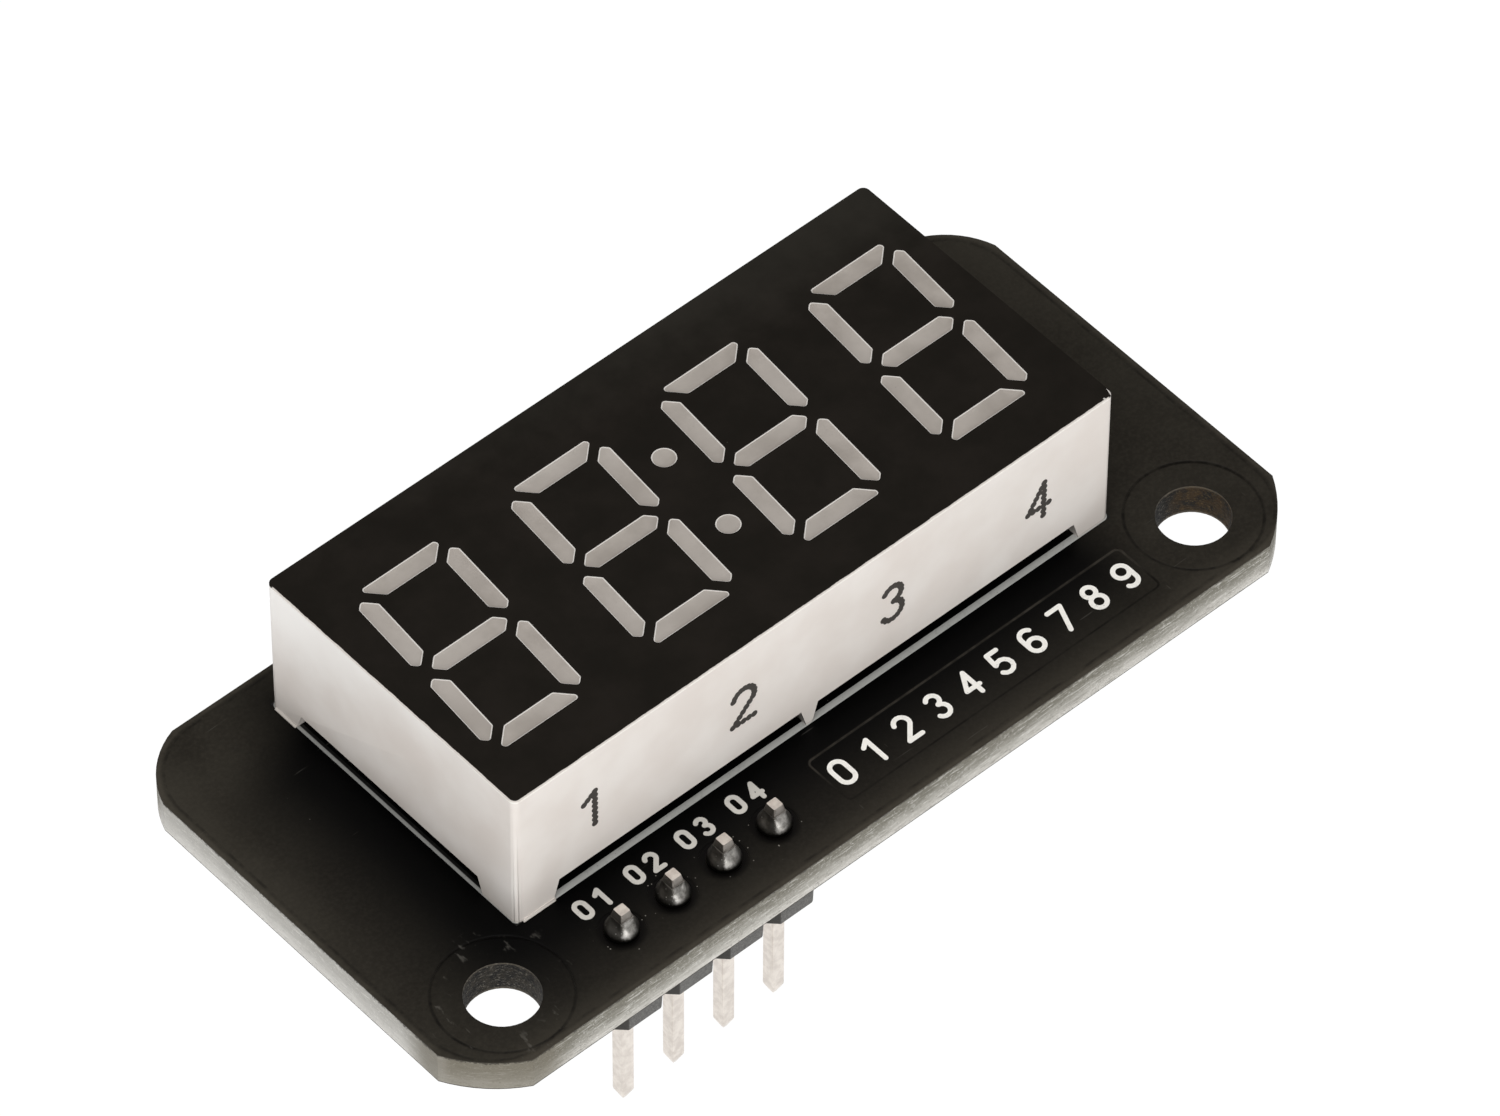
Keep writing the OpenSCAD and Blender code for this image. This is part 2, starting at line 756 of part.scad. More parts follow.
module display_face_ink() {
    color([0.1, 0.09, 0.08])
        difference() {
            translate([0, display_y, shell_top])
                linear_extrude(ink_t)
                    shell_outline();
            window_prisms(0, shell_top - eps, face_z + eps);
            translate([display_w / 2, display_y - display_d / 2, shell_top - eps])
                linear_extrude(ink_t + 2 * eps)
                    polygon([[eps, -eps], [eps, 0.46], [-0.03, 0.42], [-0.14, 0.07], [-0.05, -eps]]);
            translate([display_w / 2 - 0.42, display_y - display_d / 2 + 0.1, shell_top - eps])
                cylinder(h = ink_t + 2 * eps, d = 0.13);
        }
}

module display_pin_rods(rows) {
    at_display_pins(rows)
        translate([0, 0, -display_pin_stub])
            cylinder(h = die_z + display_pin_stub, d = display_pin_d);
}

module light_chips() {
    color([0.85, 0.83, 0.55])
        translate([0, display_y - digit_drop, die_z])
            linear_extrude(die_h)
                at_window_centres()
                    square(die_w, center = true);
}

// The middle of every window, digit by digit, and of the colon's dots
module at_window_centres() {
    lean = tan(slant);
    for (k = [0 : digit_count - 1], w = windows) {
        low = min([for (p = w) p[1]]);
        high = max([for (p = w) p[1]]);
        left = min([for (p = w) p[0]]);
        right = max([for (p = w) p[0]]);
        y = (low + high) / 2;
        translate([(k - (digit_count - 1) / 2) * digit_pitch + (left + right) / 2 + y * lean, y])
            children();
    }
    for (s = [-1, 1])
        translate([s * dot_pitch / 2 * lean, s * dot_pitch / 2])
            children();
}

module chip_board_block() {
    translate([-recess_w / 2 + resin_film, display_y - recess_d / 2 + resin_film, chip_board_z])
        cube([recess_w - 2 * resin_film, recess_d - 2 * resin_film, chip_board_t]);
}

module display_chip_board() {
    color([0.78, 0.74, 0.6])
        difference() {
            chip_board_block();
            display_pin_rods([-1, 1]);
        }
}

module display_resin() {
    color([0.7, 0.67, 0.65])
        difference() {
            union() {
                translate([-recess_w / 2, display_y - recess_d / 2, resin_z])
                    cube([recess_w, recess_d, deck_z - resin_z]);
                window_prisms(window_rim, deck_z - eps, shell_top);
            }
            chip_board_block();
            display_pin_rods([-1, 1]);
            light_chips();
        }
}

// Points along a path, about step apart, without its last point
function dots_along(path, step) =
    [for (i = [0 : len(path) - 2])
        let (span = path[i + 1] - path[i], m = max(1, round(norm(span) / step)))
        for (k = [0 : m - 1]) path[i] + span * k / m];

// Digit place numbers in ink dots, each under the middle of its digit
module display_side_print() {
    h = side_label_h - side_dot_d;
    w = h * numeral_share;
    color([0.12, 0.11, 0.1])
        translate([0, display_y - display_d / 2, base_z + display_h * 0.4])
            rotate([90, 0, 0])
                linear_extrude(print_t)
                    for (k = [1 : digit_count])
                        translate([(k - 1 - (digit_count - 1) / 2) * digit_pitch - w / 2, 0])
                            for (path = numeral_strokes(k, w, h))
                                for (p = concat(dots_along(path, side_dot_d * 0.85), [path[len(path) - 1]]))
                                    translate(p)
                                        circle(d = side_dot_d, $fn = 24);
}

module display_pins_front() {
    color([0.82, 0.8, 0.77])
        display_pin_rods([-1]);
}

module display_pins_rear() {
    color([0.82, 0.8, 0.77])
        display_pin_rods([1]);
}

module display_solder_joints() {
    land = display_pad_d / 2;
    pin = display_pin_d / 2;
    color([0.66, 0.65, 0.63])
        at_display_pins([-1, 1])
            rotate_extrude()
                polygon([[pin, board_t], [display_hole_d / 2, board_t], [display_hole_d / 2, 0], [land, 0],
                    [pin + (land - pin) * 0.73, -display_solder_h * 0.2],
                    [pin + (land - pin) * 0.34, -display_solder_h * 0.5],
                    [pin + (land - pin) * 0.12, -display_solder_h * 0.8], [pin, -display_solder_h]]);
}

// One long side of the header's outline on the side of s along Y: a chamfer at each end of every position
function header_side(s) =
    let (x = pin_pitch / 2, y = header_d / 2, c = header_chamfer)
    [for (p = header_x) each [[p - x, s * (y - c)], [p - x + c, s * y], [p + x - c, s * y]],
        [header_x[header_count - 1] + x, s * (y - c)]];

module header_plastic() {
    color([0.32, 0.31, 0.31])
        difference() {
            translate([0, header_y, -header_h])
                linear_extrude(header_h)
                    polygon(concat(header_side(-1), backwards(header_side(1))));
            at_header_pins()
                translate([-header_pin_w / 2, -header_pin_w / 2, -header_h - 1])
                    cube([header_pin_w, header_pin_w, header_h + 2]);
        }
}

// A square pin with tapered tips: two flat outlines crossed at a right angle
module header_pin(k) {
    half = header_pin_w / 2;
    top = board_t + header_rise;
    low = -header_h - header_drop;
    side = [[-half * 0.3, low], [half * 0.3, low], [half, low + tip_long], [half, top - tip_short],
        [half * 0.74, top], [-half * 0.74, top], [-half, top - tip_short], [-half, low + tip_long]];
    color([0.84, 0.81, 0.78])
        translate([header_x[k - 1], header_y, 0])
            intersection() {
                rotate([90, 0, 0])
                    translate([0, 0, -half])
                        linear_extrude(header_pin_w)
                            polygon(side);
                rotate([90, 0, 90])
                    translate([0, 0, -half])
                        linear_extrude(header_pin_w)
                            polygon(side);
            }
}

// Solder round a header pin: it fills the plated hole and swells over the land to a drop
module header_solder(k) {
    land = header_pad_d / 2;
    h = header_solder_h;
    color([0.5, 0.49, 0.47])
        translate([header_x[k - 1], header_y, 0])
            difference() {
                rotate_extrude()
                    polygon([[0, 0], [header_hole_d / 2, 0], [header_hole_d / 2, board_t],
                        [land * 0.93, board_t], [land * 0.99, board_t + h * 0.09],
                        [land * 0.97, board_t + h * 0.2], [land * 0.76, board_t + h * 0.64],
                        [land * 0.65, board_t + h], [0, board_t + h]]);
                translate([-header_pin_w / 2, -header_pin_w / 2, -1])
                    cube([header_pin_w, header_pin_w, board_t + h + 2]);
            }
}

// The moulded body: two outlines crossed, so that all four sides lean in from the parting line
module driver_chip_body() {
    low = chip_lift;
    high = chip_lift + chip_h;
    mid = (low + high) / 2;
    color([0.12, 0.12, 0.12])
        underside(chip_x, display_y)
            difference() {
                intersection() {
                    rotate([90, 0, 0])
                        translate([0, 0, -chip_l / 2])
                            linear_extrude(chip_l)
                                chip_section(chip_w / 2, low, mid, high);
                    rotate([90, 0, 90])
                        translate([0, 0, -chip_w / 2])
                            linear_extrude(chip_w)
                                chip_section(chip_l / 2, low, mid, high);
                }
                translate([-chip_w / 2 + chip_mark_in, -chip_l / 2 + chip_mark_in, high - chip_mark_t])
                    cylinder(h = 1, d = chip_mark_d);
                at_lead_rows()
                    translate([lead_root, -lead_w / 2, mid - lead_t / 2])
                        cube([1, lead_w, lead_t]);
            }
}

module chip_section(half, low, mid, high) {
    polygon([[-half + chip_lean, low], [half - chip_lean, low], [half, mid], [half - chip_lean, high],
        [-half + chip_lean, high], [-half, mid]]);
}

// Leads bent down to the board in an S: each is a flat outline as thick as its sheet
module driver_chip_leads() {
    mid = chip_lift + chip_h / 2;
    knee = lead_span / 2 - lead_foot - lead_t * 0.4;
    color([0.8, 0.79, 0.77])
        at_leads()
            rotate([90, 0, 0])
                translate([0, 0, -lead_w / 2])
                    linear_extrude(lead_w)
                        polygon([[lead_root, mid - lead_t / 2], [knee - lead_t, mid - lead_t / 2],
                            [knee - lead_t * 0.6, mid - lead_t * 0.9],
                            [knee, solder_t + lead_t * 0.5], [knee + lead_t * 0.5, solder_t],
                            [lead_span / 2, solder_t], [lead_span / 2, solder_t + lead_t],
                            [knee + lead_t * 1.2, solder_t + lead_t],
                            [knee + lead_t * 0.4, mid], [knee - lead_t * 0.3, mid + lead_t / 2],
                            [lead_root, mid + lead_t / 2]]);
}

// The middle of a small part, between its end caps
module small_body(at, size) {
    l = size[0] * (1 - 2 * cap_share);
    small_part(at)
        translate([-l / 2, -size[1] / 2 + eps, solder_t + eps])
            cube([l, size[1] - 2 * eps, size[2] - 2 * eps]);
}

module small_ends(at, size) {
    cap = size[0] * cap_share;
    small_part(at)
        for (s = [-1, 1])
            scale_x(s)
                translate([size[0] / 2 - cap, -size[1] / 2, solder_t])
                    cube([cap, size[1], size[2]]);
}

module supply_capacitor() { color([0.66, 0.56, 0.44]) small_body(bulk_at, bulk_size); }
module supply_capacitor_ends() { color([0.8, 0.79, 0.78]) small_ends(bulk_at, bulk_size); }
module bypass_capacitor() { color([0.66, 0.56, 0.44]) small_body(bypass_at, cap_size); }
module bypass_capacitor_ends() { color([0.8, 0.79, 0.78]) small_ends(bypass_at, cap_size); }
module line_capacitor(k) { color([0.66, 0.56, 0.44]) small_body(line_cap_at[k - 1], cap_size); }
module line_capacitor_ends(k) { color([0.8, 0.79, 0.78]) small_ends(line_cap_at[k - 1], cap_size); }
module pull_up_resistor(k) { color([0.12, 0.12, 0.13]) small_body(pull_up_at[k - 1], res_size); }
module pull_up_resistor_ends(k) { color([0.8, 0.79, 0.78]) small_ends(pull_up_at[k - 1], res_size); }

circuit_board();
solder_mask_top();
solder_mask_bottom();
board_print_top();
board_print_bottom();
plated_holes();
surface_lands();
surface_solder();
display_shell();
display_face_ink();
display_resin();
display_side_print();
display_chip_board();
light_chips();
display_pins_front();
display_pins_rear();
display_solder_joints();
header_plastic();
header_pin(1);  // header_pin_1
header_pin(2);  // header_pin_2
header_pin(3);  // header_pin_3
header_pin(4);  // header_pin_4
header_solder(1);  // header_solder_1
header_solder(2);  // header_solder_2
header_solder(3);  // header_solder_3
header_solder(4);  // header_solder_4
driver_chip_body();
driver_chip_leads();
supply_capacitor();
supply_capacitor_ends();
bypass_capacitor();
bypass_capacitor_ends();
line_capacitor(1);  // line_capacitor_1
line_capacitor_ends(1);  // line_capacitor_1_ends
line_capacitor(2);  // line_capacitor_2
line_capacitor_ends(2);  // line_capacitor_2_ends
pull_up_resistor(1);  // pull_up_resistor_1
pull_up_resistor_ends(1);  // pull_up_resistor_1_ends
pull_up_resistor(2);  // pull_up_resistor_2
pull_up_resistor_ends(2);  // pull_up_resistor_2_ends
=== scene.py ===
"""Looks of a four-digit seven segment display module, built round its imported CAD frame.

All sizes and patterns below are in millimetres, and each mesh is brought to metres as it is made.
"""

import json
import math

import bmesh
import bpy
import numpy as np
from mathutils import Matrix, Vector


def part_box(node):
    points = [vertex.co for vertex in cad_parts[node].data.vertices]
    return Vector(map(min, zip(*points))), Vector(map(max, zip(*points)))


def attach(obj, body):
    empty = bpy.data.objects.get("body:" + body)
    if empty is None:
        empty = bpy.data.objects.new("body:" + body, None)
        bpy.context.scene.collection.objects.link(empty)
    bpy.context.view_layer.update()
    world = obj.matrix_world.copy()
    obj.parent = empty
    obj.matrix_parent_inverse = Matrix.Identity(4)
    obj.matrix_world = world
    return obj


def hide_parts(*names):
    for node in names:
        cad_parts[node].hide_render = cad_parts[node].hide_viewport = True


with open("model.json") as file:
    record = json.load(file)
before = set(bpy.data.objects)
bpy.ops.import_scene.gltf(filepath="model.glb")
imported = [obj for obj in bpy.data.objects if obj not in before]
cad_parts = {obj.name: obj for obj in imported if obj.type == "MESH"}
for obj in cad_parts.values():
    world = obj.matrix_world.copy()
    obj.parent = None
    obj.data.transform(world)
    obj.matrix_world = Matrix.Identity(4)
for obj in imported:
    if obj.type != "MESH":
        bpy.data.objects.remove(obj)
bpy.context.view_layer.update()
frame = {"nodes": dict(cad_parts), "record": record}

MM = 0.001
BODY = "root"

# Camera of the photograph: the point it looks at, its angles in degrees, its distance and its lens
CAMERA_AIM = (3.339, 9.697, 1.6)
CAMERA_AZIMUTH = -41.84
CAMERA_ELEVATION = 50.07
CAMERA_ROLL = 0.29
CAMERA_DISTANCE = 420.1
CAMERA_LENS = 263.06

# Distance of each lamp from the same point, and its size
LAMP_DISTANCE = 420
LAMP_SIZE = 220

rng = np.random.default_rng(36)


def box_of(node):
    """Lowest and highest corner of a CAD node, in mm."""
    low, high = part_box(node)
    return np.array(low) / MM, np.array(high) / MM


# Places from the frame: the board, the display's face and the header's pins
board_low, board_high = box_of("solder_mask_top")
board_top = board_high[2]
face_low, face_high = box_of("display_face_ink")
face_middle = (face_low + face_high) / 2
header_pins = [box_of("header_pin_%d" % k) for k in range(1, 5)]
header_xy = [((low + high) / 2)[:2] for low, high in header_pins]
pin_top = header_pins[0][1][2] - 0.005

# Places and sizes that no box gives: the mounting holes and the copper ring round each, the header's pitch,
# the radii at the corners of the board and the display, and the box round the row of numerals
hole_x = 17.55
ring_r = 2.72
pitch = 2.54
board_corner = 3.2
display_corner = 0.3
row_low = np.array([-1.75, -1.7])
row_high = np.array([14.25, 0.75])

slot_of = {part["node"]: part["material_slot"] for part in frame["record"]["subparts"]}


def srgb(red, green, blue):
    """A colour as it shows on screen, from 0 to 255, as linear light."""
    c = np.array([red, green, blue]) / 255
    return tuple(np.where(c <= 0.04045, c / 12.92, ((c + 0.055) / 1.055) ** 2.4)) + (1.0,)


# Shader maths

class Wire:
    """A shader socket. Operators on it add Math nodes, or Vector Math nodes where it carries a vector."""

    # A numpy number on the left leaves the sum to the reflected operators below
    __array_ufunc__ = None

    def __init__(self, finish, socket):
        self.finish = finish
        self.socket = socket

    def maths(self, operation, *others):
        values = (self, *others)
        vector = any(isinstance(v, Wire) and v.socket.type == "VECTOR" for v in values)
        kind = "ShaderNodeVectorMath" if vector else "ShaderNodeMath"
        return self.finish.node(kind, {"operation": operation}, dict(enumerate(values)))

    def __add__(self, other):
        return self.maths("ADD", other)

    __radd__ = __add__

    def __sub__(self, other):
        return self.maths("SUBTRACT", other)

    def __rsub__(self, other):
        return self * -1.0 + other

    def __mul__(self, other):
        return self.maths("MULTIPLY", other)

    __rmul__ = __mul__

    def __truediv__(self, other):
        return self.maths("DIVIDE", other)

    def __pow__(self, other):
        return self.maths("POWER", other)

    def __abs__(self):
        return self.maths("ABSOLUTE")

    def above(self, other):
        """The greater of the two, so the result is never below other."""
        return self.maths("MAXIMUM", other)

    def below(self, other):
        """The lesser of the two, so the result is never above other."""
        return self.maths("MINIMUM", other)

    def rise(self, low, high):
        """0 below low, 1 above high, with a smooth step between them. high may be the lower number."""
        return self.finish.node("ShaderNodeMapRange", {"interpolation_type": "SMOOTHSTEP"},
                                {0: self, 1: low, 2: high})

    def beside(self, output):
        """Another output of the node that this socket belongs to."""
        return Wire(self.finish, self.socket.node.outputs[output])


class Finish:
    """One material. Its patterns are functions of the point's own place on the piece, in mm."""

    def __init__(self, name, **sockets):
        self.material = bpy.data.materials.new(name)
        self.material.use_nodes = True
        self.tree = self.material.node_tree
        self.shader = self.tree.nodes["Principled BSDF"]
        self.set(**sockets)
        self.place = self.node("ShaderNodeTexCoord", output="Object") * (1 / MM)

    def node(self, kind, settings=None, sockets=None, output=0):
        """Any node: its settings are set first, then the values or links of its sockets."""
        made = self.tree.nodes.new(kind)
        for name, value in (settings or {}).items():
            setattr(made, name, value)
        for name, value in (sockets or {}).items():
            socket = made.inputs[name]
            if isinstance(value, Wire):
                self.tree.links.new(value.socket, socket)
            elif socket.type == "VECTOR" and not hasattr(value, "__len__"):
                socket.default_value = (value, value, value)
            else:
                socket.default_value = value
        return Wire(self, made.outputs[output])

    def split(self):
        """The three coordinates of the place, each a Wire."""
        x = self.node("ShaderNodeSeparateXYZ", None, {0: self.place})
        return x, x.beside("Y"), x.beside("Z")

    def noise(self, size, detail=2.0, roughness=0.5, stretch=(1, 1, 1), shift=0.0):
        """Noise from 0 to 1, about 0.5, in blobs some size mm across, longer where stretch is below 1."""
        place = (self.place + shift) * tuple(stretch)
        return self.node("ShaderNodeTexNoise", None,
                         {"Vector": place, "Scale": 1 / size, "Detail": detail, "Roughness": roughness})

    def specks(self, spacing, radius, share, shift=0.0):
        """Small round specks, 1 inside: one to a cell of a Voronoi pattern, kept in a share of the cells."""
        far = self.node("ShaderNodeTexVoronoi", None, {"Vector": self.place + shift, "Scale": 1 / spacing})
        chance = self.node("ShaderNodeSeparateColor", None, {0: far.beside("Color")})
        kept = chance.rise(share, share * 0.98)
        return far.rise(radius / spacing, radius / spacing * 0.5) * kept

    def mix(self, factor, first, second):
        """The first colour where factor is 0, and the second where it is 1."""
        return self.node("ShaderNodeMix", {"data_type": "RGBA"}, {0: factor, 6: first, 7: second}, output=2)

    def set(self, **sockets):
        """Links or sets the shader's own sockets."""
        for name, value in sockets.items():
            socket = self.shader.inputs[name.replace("_", " ")]
            if isinstance(value, Wire):
                self.tree.links.new(value.socket, socket)
            else:
                socket.default_value = value

    def relief(self, height):
        """Bumps from a height in mm."""
        self.set(Normal=self.node("ShaderNodeBump", None, {"Distance": MM, "Height": height}))


def border_depth(f, low, high, corner):
    """How deep a point lies inside a rounded rectangle in X and Y, given by its lowest and highest corner.
    It is minus the usual distance function, length(max(|p - middle| - half + corner, 0)) - corner."""
    x, y, z = f.split()
    middle = (low + high) / 2
    inner = (high - low) / 2 - corner
    inside_x = inner[0] - abs(x - middle[0])
    inside_y = inner[1] - abs(y - middle[1])
    over = (inside_x.below(0.0) ** 2.0 + inside_y.below(0.0) ** 2.0) ** 0.5
    return corner + inside_x.below(inside_y).above(0.0) - over


def ring_distance(f, x0, y0, radius):
    """Distance in X and Y from the circle of that radius about x0, y0, negative inside it."""
    x, y, z = f.split()
    return ((x - x0) ** 2.0 + (y - y0) ** 2.0) ** 0.5 - radius


def upper_side(f):
    """1 on the board's upper side, from 1.5 mm up, and 0 on its underside."""
    x, y, z = f.split()
    return z.rise(1.4, 1.5)


def along_pitch(f):
    """Where a point lies along the header's row, from 0 to 1 across each pin's share of it."""
    x, y, z = f.split()
    return ((x - header_xy[0][0]) / pitch + 0.5).maths("FRACT")


# Finishes

def shaded_hole_wall(f):
    """Colour inside the mounting holes: dark from stains and from painted shade, with fine pale marks. The
    right hole is darker, and rusty on its right. Towards both mouths the walls are paler, where the painted
    shade thins."""
    x, y, z = f.split()
    patchy = f.noise(0.4, 3.0, 0.6, shift=8.0)
    marks = f.noise(0.13, 4.0, 0.75, stretch=(1, 1, 2), shift=23.0)
    right = x.rise(0.0, 1.0)
    rust = x.rise(hole_x - 0.4, hole_x + 0.8)
    # Dark ground of the hole walls: stains, and painted shade inside the holes
    colour = f.mix(patchy.rise(0.35, 0.7), srgb(14, 12, 10), srgb(48, 43, 35))
    colour = f.mix(right * 0.7, colour, srgb(8, 6, 3))
    colour = f.mix(rust * patchy.rise(0.3, 0.7) * 0.9, colour, srgb(58, 40, 10))
    scored = f.mix(rust, srgb(150, 144, 132), srgb(132, 108, 66))
    colour = f.mix(marks.rise(0.52, 0.7) * (0.7 - rust * 0.25), colour, scored)
    # The painted shade thins towards both mouths of the hole, so the walls are paler there
    rim = abs(z - board_top / 2).rise(0.62, 0.78)
    return f.mix(rim * 0.5, colour, srgb(128, 119, 104))


def laminate_finish():
    """Routed glass-fibre board: pale layers of cloth end-on, scored by the cutter, darker at one corner.
    Painted light makes the edge paler low down and darker towards the top.
    """
    f = Finish("board_laminate", Specular_IOR_Level=0.3)
    x, y, z = f.split()
    layers = f.noise(1.1, 3.0, 0.6, stretch=(1, 1, 4))
    grain = f.noise(0.09, 3.0, 0.7, shift=3.0)
    scores = f.noise(0.5, 4.0, 0.75, stretch=(0.6, 0.6, 5), shift=17.0)
    # Painted light: the edge is paler low down and darker towards the top, as if lit from below
    height = (z + layers * 0.9 + scores * 0.5).rise(1.95, 0.55)
    colour = f.mix(height, srgb(122, 119, 108), srgb(208, 205, 198))
    colour = f.mix(scores.rise(0.52, 0.68) * 0.55, colour, srgb(236, 234, 228))
    colour = f.mix(scores.rise(0.47, 0.33) * 0.6, colour, srgb(110, 107, 98))
    colour = f.mix(grain.rise(0.55, 0.75) * 0.6, colour, srgb(240, 238, 233))
    colour = f.mix(f.specks(0.2, 0.06, 0.5, shift=5.0) * 0.35, colour, srgb(96, 93, 85))
    corner = ring_distance(f, board_low[0], board_low[1], 4.2).rise(0.6, -1.2)
    left = x.rise(board_low[0] + 0.3, board_low[0] + 0.05)
    colour = f.mix(left * 0.4, colour, srgb(243, 241, 237))
    colour = f.mix(corner * 0.75, colour, srgb(118, 112, 98))
    ragged = (z + grain * 0.5 + f.noise(0.35, 3.0, 0.6, shift=9.0) * 0.4).rise(1.93, 2.02)
    colour = f.mix(ragged * 0.75, colour, srgb(52, 48, 41))
    hole = abs(abs(x) - hole_x).rise(1.6, 1.5) * abs(y).rise(1.6, 1.5)
    colour = f.mix(hole, colour, shaded_hole_wall(f))
    f.set(Base_Color=colour, Roughness=grain * 0.3 + 0.6)
    f.relief(grain * 0.02 + scores * 0.06)
    return f


def lit_mask_ground(f):
    """Colour of the bare lacquer, with painted light and shade on the top: painted light makes it paler along
    the board's front edge and at its far ends, and a painted shadow makes it dark in the shade of the
    display. Below, the raised tracks are paler."""
    x, y, z = f.split()
    top = upper_side(f)
    cloud = f.noise(3.5, 3.0, 0.55)
    grain = f.noise(0.16, 2.0, 0.6, shift=31.0)
    colour = f.mix(cloud.rise(0.3, 0.75), srgb(39, 36, 31), srgb(49, 46, 40))
    colour = f.mix(grain.rise(0.3, 0.8) * 0.3, colour, srgb(64, 60, 53))
    # Painted light along the board's front edge and at its far ends
    front = y.rise(-1.7, -3.1)
    colour = f.mix(front * top * 0.45, colour, srgb(70, 65, 57))
    left_end = x.rise(-19.0, -21.0) * y.rise(2.0, 9.0)
    right_end = x.rise(16.5, 19.0) * y.rise(8.0, 14.0)
    colour = f.mix((left_end * 0.3).above(right_end * 0.25) * top, colour, srgb(72, 68, 60))
    # Painted shadow of the display on the top, to its left and front
    shade = border_depth(f, face_low, face_high, display_corner) + cloud * 0.8 - y.rise(12.5, 16.5) * 3.0
    shade = shade.rise(-5.9, -0.5) * x.rise(16.0, 12.5)
    colour = f.mix(shade * top, colour, srgb(2, 2, 2))
    raised = z.rise(-0.005, -0.014)
    return f.mix(raised * 0.6, colour, srgb(80, 75, 66))


def hole_rings(f, broken):
    """The groove at the edge of the copper round each mounting hole, which also masks the painted shade in
    it, and the ring of wear along it.
    """
    groove = 0.0
    wear_and_shade = 0.0
    for side in (-1, 1):
        away = ring_distance(f, side * hole_x, 0.0, ring_r)
        groove = groove + abs(away).rise(0.1, 0.02) * (broken * 0.6 + 0.4)
        wear_and_shade = wear_and_shade + abs(away + 0.2).rise(1.0, 0.1)
    return groove, wear_and_shade


def flux_rings(f):
    """Burnt flux round each header pin, and the ring of crumbs at its edge."""
    flux = 0.0
    crumbs = 0.0
    for x0, y0 in header_xy:
        away = ring_distance(f, x0, y0, 0.7)
        flux = flux + away.rise(0.42, 0.06)
        crumbs = crumbs + abs(away - 0.3).rise(0.22, 0.05)
    return flux, crumbs * f.specks(0.2, 0.035, 0.4, shift=3.0)


def row_box_shading(f, colour, broken):
    """Adds the step in the copper round the row of numerals as painted light and shade: a painted shadow
    along its front, and a painted highlight behind.
    """
    x, y, z = f.split()
    depth = border_depth(f, row_low, row_high, 0.25)
    step = abs(depth).rise(0.07, 0.02) * (broken * 0.4 + 0.3) * upper_side(f)
    # Painted highlight on the rear side of the step, and painted shadow on its front
    rear = y.rise(row_low[1] + 0.2, row_high[1] - 0.2)
    return f.mix(step, colour, f.mix(rear, srgb(8, 7, 6), srgb(66, 62, 56)))


def mask_finish():
    """Satin black lacquer: fine orange peel, steps round the holes and the board with painted shade along
    them, flux by the pins, dust.
    """
    f = Finish("solder_mask", Specular_IOR_Level=0.06)
    x, y, z = f.split()
    peel = f.noise(0.09, 2.0, 0.6)
    weave = f.noise(0.45, 2.0, 0.5, shift=5.0)
    broken = f.noise(0.9, 3.0, 0.7, shift=25.0).rise(0.35, 0.65)
    groove, wear_and_shade = hole_rings(f, broken)
    flux, crumbs = flux_rings(f)
    # Painted shade in the groove round each mounting hole
    colour = f.mix(groove * 0.75, lit_mask_ground(f), srgb(10, 9, 8))
    colour = f.mix(flux * 0.9, colour, srgb(5, 4, 4))
    scratch = f.noise(0.25, 2.0, 0.4, stretch=(0.1, 1.8, 1), shift=11.0).rise(0.75, 0.79)
    scratch = scratch + f.noise(0.2, 2.0, 0.4, stretch=(1.5, 0.12, 1), shift=21.0).rise(0.76, 0.8)
    smears = f.noise(0.5, 3.0, 0.7, stretch=(1, 0.5, 1), shift=41.0).rise(0.6, 0.72)
    smears = smears * wear_and_shade * x.rise(0.0, -1.0)
    dust = f.specks(0.8, 0.03, 0.16) + f.specks(1.9, 0.045, 0.2, shift=7.0)
    pale = scratch * 0.08 + dust * 0.4 + crumbs * 0.75 + smears * 0.16
    colour = f.mix(pale.below(1.0), colour, srgb(158, 154, 146))
    depth = border_depth(f, board_low, board_high, board_corner)
    # Painted shade along the step in the copper inside the board's edge
    rim = abs(depth - 0.3).rise(0.09, 0.02) * broken
    colour = f.mix(rim * 0.45, colour, srgb(12, 11, 10))
    colour = f.mix(depth.rise(0.24, 0.1) * (1.0 - broken * 0.6) * 0.35, colour, srgb(84, 79, 70))
    colour = row_box_shading(f, colour, broken)
    f.set(Base_Color=colour, Roughness=weave * 0.16 + scratch * 0.1 + (0.38 - flux * 0.15))
    f.relief(peel * 0.003 + weave * 0.004 - groove * 0.025 - rim * 0.012 + dust * 0.01 + crumbs * 0.01)
    return f


def print_finish(name, numerals, labels, outline):
    """Screen-printed ink: matt, with pinholes, darker from the row of numerals to the outline behind it."""
    f = Finish(name, Roughness=0.6, Specular_IOR_Level=0.3)
    x, y, z = f.split()
    body = f.noise(0.25, 3.0, 0.7)
    pinholes = f.specks(0.22, 0.03, 0.35)
    line = y.rise(1.58, 1.68)
    colour = f.mix(y.rise(0.25, 0.5), numerals, labels)
    colour = f.mix(line, colour, outline)
    # Painted shade: the outline's left side is darkened, nearly black on its inner part, in the shade of the
    # display. The outline is also dark where it passes the display's corners
    left_line = line * x.rise(-14.6, -14.7)
    wear_and_shade = (left_line * x.rise(-14.97, -14.91)).above(left_line * 0.35)
    corner = border_depth(f, face_low, face_high, display_corner).rise(-0.03, -0.05) * line * upper_side(f)
    colour = f.mix(wear_and_shade.above(corner), colour, srgb(14, 13, 12))
    f.set(Base_Color=f.mix(pinholes * 0.35 + body.rise(0.5, 0.2) * 0.25, colour, srgb(70, 68, 64)))
    f.relief(body * 0.012 - pinholes * 0.01)
    return f


